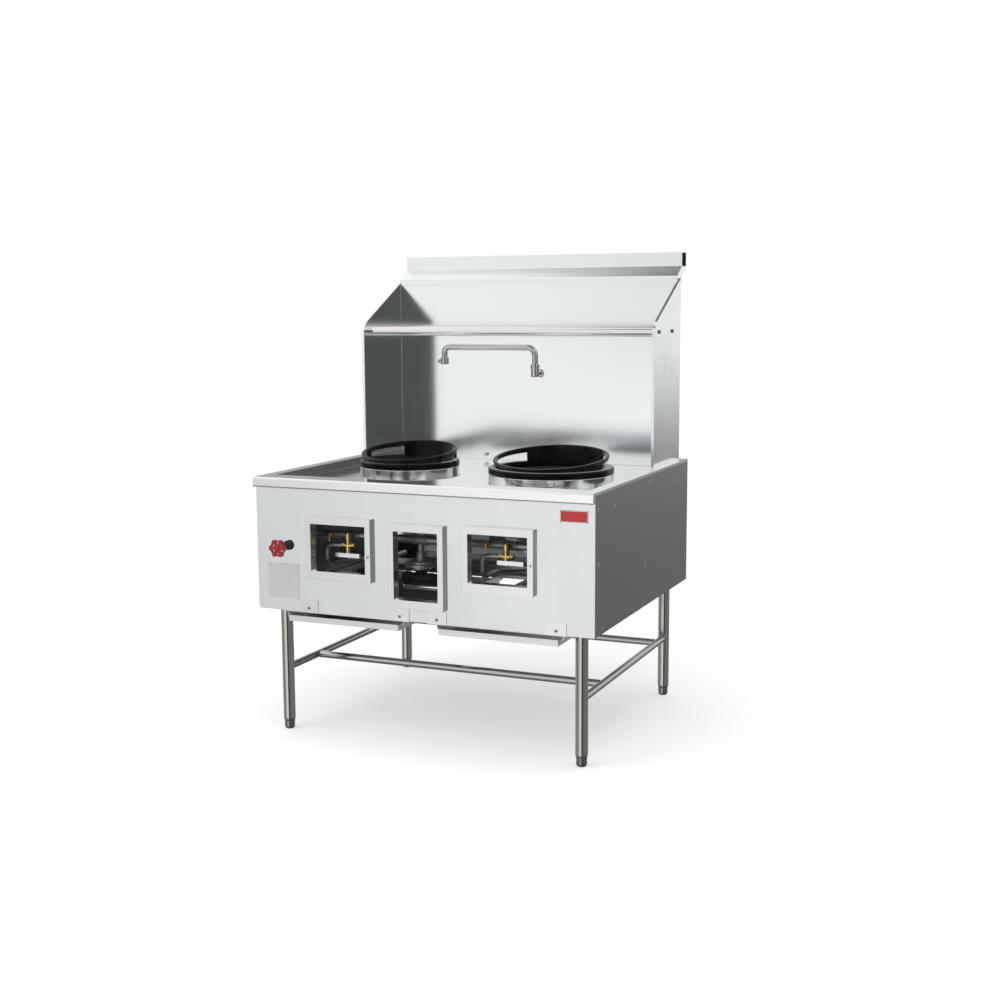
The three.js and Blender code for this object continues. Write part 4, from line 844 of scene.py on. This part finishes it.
# %% Drums and liners
DRUM_DEPTH = 205
DRUM_TOP = DECK - 1.5
DRUM_BOTTOM = DRUM_TOP - DRUM_DEPTH
for side, (x, y, collar, _) in STATIONS.items():
    liner = collar - 6
    inner, outer = liner + 4, liner + 6
    bottom, top = DRUM_BOTTOM + 2, COLLAR_TOP - 2.3
    bm = bmesh.new()
    add_lathe(bm, [
        (inner, DRUM_TOP), (inner, bottom), (inner - 16, bottom), (inner - 16, DRUM_BOTTOM),
        (outer - 1, DRUM_BOTTOM), (outer, DRUM_BOTTOM + 1), (outer, DRUM_TOP - 2),
        (outer + 16, DRUM_TOP - 2), (outer + 16, DRUM_TOP)], x, y, 112)
    finish_piece(bm, f"drum_{side}", [bright_steel], [f"chamber_drum_{side}"], 0)
    bm = bmesh.new()
    add_lathe(bm, [
        (84, bottom), (liner, bottom), (liner, top - 2), (liner - 2, top), (liner - 11, top),
        (liner - 13, top - 3), (liner - 38, top - 120), (88, bottom + 24), (84, bottom + 20)],
        x, y, 112)
    bowl = finish_piece(bm, f"liner_{side}", [firebrick], [f"chamber_liner_{side}"], 0)
    keep_out_of_mirrors(bowl)
print("drum height:", DRUM_DEPTH)

# %% [markdown]
# The burner is the piece that takes most skill: a cast box on a wide mixing tube that is open
# below, where the air goes in, carried by three arms, with a ring of upright jets. Each jet
# gets its drilled port, a blind hole with a near-black disc at its bottom, soot and painted
# shade, and the arms run out to bolts under the drum.

# %% Jet burners
HEAD_TOP = DRUM_BOTTOM + 42
HEAD_BOTTOM = HEAD_TOP - 26
NECK_BOTTOM = HEAD_BOTTOM - 105
NECK_RADIUS = 48
JET_RINGS = ((1, 0), (6, 26), (12, 52))     # how many jets, on what radius
# near-black for the bottoms of the jet ports, soot with painted shade, and for the spout's mouth,
# painted shade
soot_and_hole_shade = plain("port soot and painted hole shade", (0.003, 0.003, 0.003), (0.008, 0.007, 0.006), 0.95)


def add_jet(bm, x, y):
    top = HEAD_TOP + 24
    add_turned(bm, (x, y, HEAD_TOP - 1), (x, y, top), [
        (0, 6.4), (1.6, 5.6), (12, 4.9), (14, 4.9), (23, 3.6), (25, 3.2), (25, 1.5), (19, 1.4),
        (19, 0)], 16)
    add_bar(bm, 1.5, (x, y, top - 5), (x, y, top - 4.6), 10, 1)


def add_arm(bm, x, y, degrees, reach):
    angle = math.radians(degrees)
    ux, uy = math.cos(angle), math.sin(angle)
    corners = [(x + along * ux - across * uy, y + along * uy + across * ux)
               for along, across in ((44, -12), (reach, -12), (reach, 12), (44, 12))]
    add_slab(bm, corners, (DRUM_BOTTOM - 5, DRUM_BOTTOM))
    bx, by = x + (reach - 8) * ux, y + (reach - 8) * uy
    add_nut(bm, 13, (bx, by, DRUM_BOTTOM - 12), (bx, by, DRUM_BOTTOM - 5), 2)


for side, (x, y, collar, _) in STATIONS.items():
    bm = bmesh.new()
    bore, wall = NECK_RADIUS - 4, NECK_RADIUS
    add_lathe(bm, [
        (0.5, HEAD_BOTTOM + 4), (bore, HEAD_BOTTOM + 4), (bore, NECK_BOTTOM + 0.6),
        (bore + 0.6, NECK_BOTTOM), (wall - 0.6, NECK_BOTTOM), (wall, NECK_BOTTOM + 0.8),
        (wall, NECK_BOTTOM + 8), (wall - 1.4, NECK_BOTTOM + 9.5), (wall - 1.4, HEAD_BOTTOM - 5),
        (wall, HEAD_BOTTOM - 1), (61, HEAD_BOTTOM + 3), (64, HEAD_BOTTOM + 6), (64, HEAD_TOP - 4),
        (63, HEAD_TOP - 1.2), (60, HEAD_TOP), (0.5, HEAD_TOP)], x, y, 72)
    for degrees in (90, 210, 330):
        add_arm(bm, x, y, degrees, collar - 6)
    for count, radius in JET_RINGS:
        for i in range(count):
            angle = 2 * math.pi * i / count
            add_jet(bm, x + radius * math.cos(angle), y + radius * math.sin(angle))
    head = finish_piece(bm, f"jet_burner_{side}", [black_iron, soot_and_hole_shade, screw_steel],
                        [f"burner_{side}"], 0)
    keep_out_of_mirrors(head)
print("jets on each burner:", sum(count for count, _ in JET_RINGS))

# %% [markdown]
# ## Gas train
# Iron pipe with banded fittings, brass cocks and plain pipe to the burners. Fittings are
# turned with a bead at each mouth, which is what tells a fitting from the pipe.

# %% Supply pipe
MAIN_Y, MAIN_Z, MAIN_R, MAIN_HALF = 122, 690, 13.4, 445
COCK_X = {"left": -301, "right": 279}
REGULATOR_X = -48
HANGER_TOP = 840.5


def add_fitting(bm, centre_x, half):
    r, length = MAIN_R + 4, 2 * half
    add_turned(bm, (centre_x - half, MAIN_Y, MAIN_Z), (centre_x + half, MAIN_Y, MAIN_Z), [
        (0, r - 1), (1, r), (6, r), (7.5, r - 1.6), (length - 7.5, r - 1.6), (length - 6, r),
        (length - 1, r), (length, r - 1)], 40)


bm = bmesh.new()
add_bar(bm, MAIN_R, (-MAIN_HALF, MAIN_Y, MAIN_Z), (MAIN_HALF, MAIN_Y, MAIN_Z), 40)
for x in (-434, COCK_X["left"], REGULATOR_X, COCK_X["right"], 434):
    add_fitting(bm, x, 15 if abs(x) > 400 else 24)
add_bar(bm, MAIN_R - 3, (REGULATOR_X, MAIN_Y, MAIN_Z), (REGULATOR_X, MAIN_Y, 650.3), 32)
for x in (-410, 410):
    add_box(bm, (x - 12, x + 12), (MAIN_Y - 2, MAIN_Y + 2), (MAIN_Z, HANGER_TOP), 1)
    add_box(bm, (x - 12, x + 12), (MAIN_Y - 18, MAIN_Y + 2), (HANGER_TOP - 4, HANGER_TOP), 1)
finish_piece(bm, "supply_pipe", [zinc, zinc], ["gas_manifold"], 0)
print("supply pipe length:", 2 * MAIN_HALF)

# %% [markdown]
# The regulator has a level body, a wide diaphragm case clamped by a circle of bolts, and a
# tower for the spring. Its inlet elbow stands on the bright pipe that comes in from the back.

# %% Regulator and inlet pipe
bm = bmesh.new()
RX, RY, RZ = REGULATOR_X, 109, 563
add_turned(bm, (RX - 60, RY, RZ), (RX + 60, RY, RZ), [
    (0, 15), (1.5, 17), (10, 17), (11, 19), (26, 19), (28, 17.6), (92, 17.6), (94, 19), (109, 19),
    (110, 17), (118.5, 17), (120, 15)], 48)
add_bar(bm, 20, (RX, MAIN_Y, RZ), (RX, MAIN_Y, 594.5), 40)
add_turned(bm, (RX, MAIN_Y, 593.5), (RX, MAIN_Y, 650), [
    (0, 38), (1.5, 42), (8.3, 42), (8.5, 54.8), (9.2, 56), (13.2, 56), (13.5, 55.2), (13.9, 56),
    (17.8, 56), (18.5, 54.8), (18.7, 42), (25, 41), (27, 37), (27.2, 15), (50, 15), (51, 13.4),
    (55, 13.4), (56.5, 11.6)], 72, 1)
for i in range(8):
    angle = 2 * math.pi * (i + 0.5) / 8
    bx, by = RX + 49 * math.cos(angle), MAIN_Y + 49 * math.sin(angle)
    add_nut(bm, 8, (bx, by, 612), (bx, by, 616.4), 2)
    add_nut(bm, 8, (bx, by, 597.8), (bx, by, 602), 2)
add_nut(bm, 22, (RX - 42, 96, RZ), (RX - 42, 96, 543.3))
finish_piece(bm, "regulator_body", [black_iron, zinc, screw_steel], ["gas_regulator"], 0)

INLET_Z = 535
bm = bmesh.new()
add_bent_tube(bm, 8, [(-101, 96, INLET_Z), (470, 96, INLET_Z), (470, 1047, INLET_Z)], 30, 28)
finish_piece(bm, "inlet_pipe", [bright_steel], ["gas_inlet_pipe"], 0.3)
print("regulator at", (RX, RY, RZ))

# %% [markdown]
# The cocks are the brightest thing behind the windows. Each is turned from brass bar: a slim
# domed cap on a level hexagon branch, a union behind to the supply, and a stem that carries
# the white lever. Small pilot cocks sit beside them.

# %% Cocks, pilots and burner feeds
COCK_Y, BRANCH_Z = 80, 660
PILOT_Y, PILOT_Z = 74.3, 694
FEED_Z = NECK_BOTTOM + 22
LEVER_TOP = {"left": 635, "right": 648}
for side, x in COCK_X.items():
    low = LEVER_TOP[side] + 0.3
    bm = bmesh.new()
    add_turned(bm, (x, COCK_Y, BRANCH_Z), (x, COCK_Y, 706), [
        (0, 8.5), (20, 8.5), (20.6, 10.6), (22, 11), (39, 11), (40.5, 10.4), (41, 7.4), (42, 8.2),
        (44.2, 7.4), (45.6, 5.2), (46, 2.6)], 48)
    add_turned(bm, (x, COCK_Y, low), (x, COCK_Y, BRANCH_Z), [
        (0, 9.5), (0.8, 11), (4, 11), (4.6, 9.8), (7, 9.8), (7.6, 11), (BRANCH_Z - low, 11)], 40)
    add_nut(bm, 18, (x - 25, COCK_Y, BRANCH_Z), (x - 12, COCK_Y, BRANCH_Z))
    add_nut(bm, 18, (x + 12, COCK_Y, BRANCH_Z), (x + 26, COCK_Y, BRANCH_Z))
    add_turned(bm, (x - 14, COCK_Y, BRANCH_Z), (x + 14, COCK_Y, BRANCH_Z),
               [(0, 8), (4, 9), (24, 9), (28, 8)], 40)
    add_nut(bm, 18, (x, COCK_Y, MAIN_Z), (x, 104.3, MAIN_Z))
    finish_piece(bm, f"brass_cock_{side}", [brass], [f"gas_valve_{side}"], 0.3)

    px = x - 75
    bm = bmesh.new()
    add_turned(bm, (px, PILOT_Y, PILOT_Z), (px, PILOT_Y + 34, PILOT_Z), [
        (0, 5), (1, 7), (9, 7), (10, 5.6), (20, 5.6), (24, 7), (34, 7)], 32)
    add_nut(bm, 17, (px, PILOT_Y + 14, PILOT_Z), (px, PILOT_Y + 24, PILOT_Z))
    add_bar(bm, 3.2, (px, PILOT_Y + 8, PILOT_Z), (px, PILOT_Y + 8, PILOT_Z - 24), 16)
    finish_piece(bm, f"pilot_cock_{side}", [brass], [f"pilot_valve_{side}"], 0.2)

    bx, by, _, _ = STATIONS[side]
    start_x = x - 25.3
    turn_x = start_x - 58
    front = by - NECK_RADIUS - 0.3
    bm = bmesh.new()
    add_bent_tube(bm, 9, [
        (start_x, COCK_Y, BRANCH_Z), (turn_x, COCK_Y, BRANCH_Z), (turn_x, COCK_Y, FEED_Z),
        (turn_x, COCK_Y + (front - COCK_Y) * 0.35, FEED_Z),
        (bx, COCK_Y + (front - COCK_Y) * 0.7, FEED_Z), (bx, front, FEED_Z)], 26, 24)
    finish_piece(bm, f"feed_pipe_{side}", [zinc], [f"burner_feed_{side}"], 0)
print("feed height:", FEED_Z)

# %% [markdown]
# ## Water
# The handwheel is cast and painted red. Its lobed rim is the solid's outline with a generous
# round, because a cast wheel has no sharp edge. The valve stands behind it on its own stem, and
# a brass pipe rises from the valve to the small outlet low on the splash back.

# %% Handwheel, valve and deck rinse
WX, WZ, VALVE_Y = -481, 665, 34
BACK_FACE = 1012
RINSE_X, RINSE_Z, RISER_Y = -200, 883, BACK_FACE + 1.5 + 8
wheel = soften("rinse_handwheel", "red_wheel", red_paint, "handwheel", 1.8, 40)
bm = bmesh.new()
add_turned(bm, (WX, -71.2, WZ), (WX, 44, WZ), [
    (0, 4.5), (33, 4.5), (33.4, 8), (34, 8.6), (38, 8.6), (39, 7.6), (47, 7.6), (47.2, 13), (48, 14),
    (67.2, 14), (67.6, 16.5), (68.4, 17.5), (70, 17.5), (70.9, 16.9), (70.9, 14), (113, 14),
    (115.2, 12)], 48)
add_nut(bm, 29, (WX, -22, WZ), (WX, -10, WZ))
add_nut(bm, 22, (WX, VALVE_Y, WZ), (WX, VALVE_Y, WZ + 34))
add_nut(bm, 22, (WX, VALVE_Y, WZ), (WX, VALVE_Y, WZ - 30))
valve = finish_piece(bm, "water_valve", [black_iron], ["rinse_valve"], 0.3)
keep_out_of_mirrors(wheel, valve)
bm = bmesh.new()
add_bent_tube(bm, 6, [
    (WX, VALVE_Y, WZ + 34.3), (WX, VALVE_Y, 778), (WX, RISER_Y, 778), (RINSE_X, RISER_Y, 778),
    (RINSE_X, RISER_Y, RINSE_Z)], 20, 20)
add_bar(bm, 7, (RINSE_X, RISER_Y, 874), (RINSE_X, RISER_Y, 888), 24)
add_bar(bm, 5.6, (RINSE_X, RISER_Y, RINSE_Z), (RINSE_X, 996.2, RINSE_Z), 24, 1)
add_turned(bm, (RINSE_X, 1009.9, RINSE_Z), (RINSE_X, 999.2, RINSE_Z),
           [(0, 6.5), (0.8, 7.5), (8, 7.5), (10.7, 5.4)], 32, 1)
finish_piece(bm, "rinse_run", [brass, polished_steel], ["rinse_pipe"], 0)
print("wheel centre:", (WX, WZ))

# %% [markdown]
# ## Backguard fittings
# The rack is two plain tubes between the wings, held by a nut on each outer face. The swing
# spout turns in a barrel on a shank through the splash back.

# %% Pipe rack
WING_OUT, WING_IN, RACK_Z = 578, 568, 1367
RACK_BARS = {"front": 755, "rear": 916}
for end, y in RACK_BARS.items():
    bm = bmesh.new()
    add_bar(bm, 16.7, (0.3 - WING_IN, y, RACK_Z), (WING_IN - 0.3, y, RACK_Z), 48)
    for sign in (-1, 1):
        add_bar(bm, 4, (sign * (WING_IN - 2), y, RACK_Z), (sign * (WING_OUT + 1), y, RACK_Z), 16, 1)
        add_nut(bm, 13, (sign * (WING_OUT + 0.3), y, RACK_Z), (sign * (WING_OUT + 4.8), y, RACK_Z), 1)
    finish_piece(bm, f"rack_bar_{end}", [rack_steel, screw_steel],
                 [f"rack_tube_{end}"], 0.4)
print("rack bars:", len(RACK_BARS))

# %% Swing spout
SX, SY, REACH = 29, 955.2, 380
BARREL_LOW, BARREL_TOP, SHANK_Z, ARM_Z = 1191, 1222, 1202.5, 1302
h = BARREL_TOP - BARREL_LOW
bm = bmesh.new()
add_turned(bm, (SX, SY, BARREL_LOW), (SX, SY, BARREL_TOP), [
    (0, 14), (1, 15.8), (3, 17), (8, 17), (9, 15.8), (h - 5, 15.8), (h - 4, 17), (h - 0.8, 17),
    (h, 16.2), (h, 8.3), (10, 8.3)], 48)
add_bar(bm, 9, (SX, SY + 11, SHANK_Z), (SX, 1025.7, SHANK_Z), 40)
add_turned(bm, (SX, 1006.2, SHANK_Z), (SX, 1010.2, SHANK_Z),
           [(0, 10.5), (1, 13), (2.6, 15.4), (4, 16)], 48)
add_nut(bm, 26, (SX, 1011.7, SHANK_Z), (SX, 1019.7, SHANK_Z))
barrel = finish_piece(bm, "spout_barrel", [polished_steel], ["spout_body"], 0)

OX = SX - REACH
bm = bmesh.new()
add_bent_tube(bm, 11.5, [(SX, SY, 1224.3), (SX, SY, ARM_Z), (OX, SY, ARM_Z), (OX, SY, 1245)],
              [62, 42], 40, 14)
for x, low, high, r in ((SX, 1222.3, 1239.3, 17), (OX, 1235, 1262, 16)):
    h = high - low
    add_turned(bm, (x, SY, low), (x, SY, high), [
        (0, r - 1.8), (1.2, r), (h - 1.5, r), (h, r - 1.2), (h, 11.4)], 48)
add_bar(bm, 8, (SX, SY, 1202), (SX, SY, 1227.3), 32)
# a near-black disc on the nozzle's lower end is painted shade for its open mouth
add_bar(bm, 9.5, (OX, SY, 1235.2), (OX, SY, 1234.9), 32, 1)
add_bar(bm, 3.5, (OX, SY, 1247), (OX - 25, SY, 1247), 20)
add_turned(bm, (OX - 24, SY, 1240), (OX - 24, SY, 1254), [(0, 3), (1.6, 5), (12.4, 5), (14, 3)], 24)
arm = finish_piece(bm, "spout_arm", [polished_steel, soot_and_hole_shade], ["swing_spout"], 0,
                   body="spout")
keep_out_of_mirrors(barrel, arm)
print("spout reach:", REACH)

# %% [markdown]
# ## Studio
# A round sheet of white paper under the range, a white surround and two large soft lamps. A
# camera ray that meets the paper or the surround sees it white, so the range stands on white
# and keeps its shadow, with no more light on the range itself. The steel looks through the
# paper to the surround, which goes on below the floor line.

# %% Floor
def seen_directly(tree, path):
    """1 for a ray from the camera, from a mirror or through glass, and 0 for diffuse light."""
    total = path.outputs["Is Camera Ray"]
    for name in ("Is Glossy Ray", "Is Transmission Ray"):
        total = do_math(tree, "MAXIMUM", total, path.outputs[name])
    return total


FLOOR_RADIUS, PAPER, PAPER_GLOW = 2.6, 0.86, 0.42
bm = bmesh.new()
bmesh.ops.create_circle(bm, cap_ends=True, segments=128, radius=FLOOR_RADIUS)
floor = add_object("floor", as_mesh(bm, "floor"))
material, tree, shader = blank_material("floor paper")
direct = seen_directly(tree, tree.nodes.new("ShaderNodeLightPath"))
feed(tree, shader, {
    "Base Color": (*grey(PAPER), 1),
    "Roughness": 0.9,
    "Specular IOR Level": 0.0,
    "Emission Color": mix_colour(tree, direct, grey(0), grey(PAPER_GLOW)),
    "Emission Strength": 1.0,
})
floor.data.materials.append(material)
keep_out_of_mirrors(floor)
floor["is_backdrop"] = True
print("floor radius:", FLOOR_RADIUS)

# %% [markdown]
# Steel shows only what stands around it. In an all-white room it would have no shape, so the
# surround is a ring of cards and dark flags, as a photographer of metal would hang: one ring
# at eye level and one below it, with two dark cards high up for the sloping cap. Each ring
# is a list of compass directions, 0 straight in front and positive to the right, with how
# bright the card is there. A colour ramp blends from each card to the next.

# %% Cards
EYE_RING = [
    (-180, 0.55), (-160, 0.42), (-140, 0.42), (-120, 0.45), (-105, 0.60), (-75, 0.97), (-62, 0.25),
    (-52, 0.85), (-38, 0.80), (-33, 0.92), (-28, 1.00), (-22, 0.98), (-17, 0.88), (-12, 0.85),
    (-9.5, 0.20), (-5, 0.75), (6, 0.80), (11, 0.10), (37, 0.08), (45, 0.70), (58, 0.85), (66, 0.30),
    (90, 0.25), (138, 0.35), (154, 0.97), (180, 0.97),
]
LOW_RING = [
    (-180, 0.55), (-100, 0.50), (-70, 0.40), (-50, 0.32), (-38, 0.54), (-30, 0.88), (-20, 1.10),
    (-10, 1.22), (-4, 1.32), (6, 1.32), (12, 1.0), (17, 0.06), (31, 0.05), (42, 0.22), (60, 0.25),
    (100, 0.30), (150, 0.28), (180, 0.28),
]
HIGH_CARD = Vector((0.05, 0.50, 0.86)).normalized()    # hung twice, in front and behind


def hang_ring(tree, turn, cards):
    ramp = tree.nodes.new("ShaderNodeValToRGB")
    stops = ramp.color_ramp.elements
    stops.remove(stops[-1])
    for i, (degrees, bright) in enumerate(cards):
        where = degrees / 360 + 0.5
        stop = stops[0] if i == 0 else stops.new(where)
        stop.position = where
        stop.color = (*grey(bright), 1)
    tree.links.new(turn, ramp.inputs["Fac"])
    return ramp.outputs["Color"]


def fade(tree, value, start, stop):
    return map_value(tree, value, start=start, stop=stop, eased=True)


print("cards in the rings:", len(EYE_RING), len(LOW_RING))

# %% [markdown]
# The surround turns a direction into a compass angle and a height. The eye-level ring hands
# over to the low ring just under the horizon, the ceiling above is one bright even sheet, and
# far below it gets darker, as under any table. The two high cards are one card, folded over to
# the back. Light that only falls on the range, and shows nothing, comes evenly from all sides.

# %% Surround
CEILING, DARK_CARD, UNDERNEATH, EVEN_LIGHT = 1.10, 0.12, 0.45, 0.62
world = bpy.data.worlds.new("studio")
bpy.context.scene.world = world
world.use_nodes = True
tree = world.node_tree
direction = tree.nodes.new("ShaderNodeTexCoord").outputs["Generated"]
split = add_node(tree, "SeparateXYZ", {0: direction})
across, depth, height = (split.outputs[axis] for axis in "XYZ")
angle = do_math(tree, "ARCTAN2", across, do_math(tree, "MULTIPLY", depth, -1))
share = do_math(tree, "MULTIPLY", angle, 1 / (2 * math.pi))
turn = do_math(tree, "ADD", share, 0.5)
eye_level = hang_ring(tree, turn, EYE_RING)
low_level = hang_ring(tree, turn, LOW_RING)
above_horizon = fade(tree, height, -0.12, -0.02)
around = mix_colour(tree, above_horizon, low_level, eye_level)
around = mix_colour(tree, fade(tree, height, 0.25, 0.5), around, grey(CEILING))
folded = add_node(tree, "CombineXYZ",
                  {"X": across, "Y": do_math(tree, "ABSOLUTE", depth), "Z": height})
lean = tree.nodes.new("ShaderNodeVectorMath")
lean.operation = "DOT_PRODUCT"
feed(tree, lean, {0: folded.outputs[0], 1: HIGH_CARD})
on_high_card = fade(tree, lean.outputs["Value"], 0.897, 0.942)
around = mix_colour(tree, on_high_card, around, grey(DARK_CARD))
under = mix_colour(tree, fade(tree, height, -0.50, -0.32), grey(UNDERNEATH), grey(1))
shown = tree.nodes.new("ShaderNodeMix")
shown.data_type = "RGBA"
shown.blend_type = "MULTIPLY"
feed(tree, shown, {0: 1.0, 6: around, 7: under})
path = tree.nodes.new("ShaderNodeLightPath")
direct = seen_directly(tree, path)
lit = mix_colour(tree, direct, grey(EVEN_LIGHT), shown.outputs[2])
colour = mix_colour(tree, path.outputs["Is Camera Ray"], lit, grey(1))
feed(tree, tree.nodes["Background"], {"Color": colour, "Strength": 1.0})
print("surround nodes:", len(tree.nodes))

# %% [markdown]
# The two lamps light paint, iron, brick and the floor. Steel mirrors the cards alone, so a
# lamp never burns a hard square into it.

# %% Lamps
def soft_lamp(name, where, aim, size, watts):
    data = bpy.data.lights.new(name, "AREA")
    data.shape = "SQUARE"
    data.size = size
    data.energy = watts
    lamp = add_object(name, data)
    lamp.location = where
    lamp.rotation_euler = (Vector(aim) - Vector(where)).to_track_quat("-Z", "Y").to_euler()
    keep_out_of_mirrors(lamp)


soft_lamp("key", (-2.9, -3.4, 3.9), (0, 0, 0.8), 3.2, 44)
soft_lamp("top", (0.3, -0.4, 4.4), (0, 0, 0.9), 3.4, 40)
print("lamps: 2")

# %% [markdown]
# ## Camera
# The photograph's own camera was worked out from the range's edges: a 50 mm lens to the
# right of the middle, a little above the deck, looking slightly down.

# %% Camera
yaw, pitch, roll = (math.radians(v) for v in (23.30, 7.956, -0.297))
forward = Vector((-math.sin(yaw) * math.cos(pitch), math.cos(yaw) * math.cos(pitch),
                  -math.sin(pitch)))
right = Vector((math.cos(yaw), math.sin(yaw), 0))
up = right.cross(forward)
turned_right = right * math.cos(roll) + up * math.sin(roll)
turned_up = up * math.cos(roll) - right * math.sin(roll)
data = bpy.data.cameras.new("camera")
data.lens = 50.316
data.sensor_width = 36
data.clip_end = 200
camera = add_object("camera", data)
basis = Matrix((turned_right, turned_up, -forward)).transposed().to_4x4()
camera.matrix_world = Matrix.Translation(place(2013.1, -3995.8, 1464.4)) @ basis
bpy.context.scene.camera = camera
bpy.context.scene.view_settings.view_transform = "Standard"
print("camera at", tuple(round(v, 3) for v in camera.location))

# %% Measure
low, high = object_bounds()
print("visual box", tuple(round(v, 3) for v in high - low))
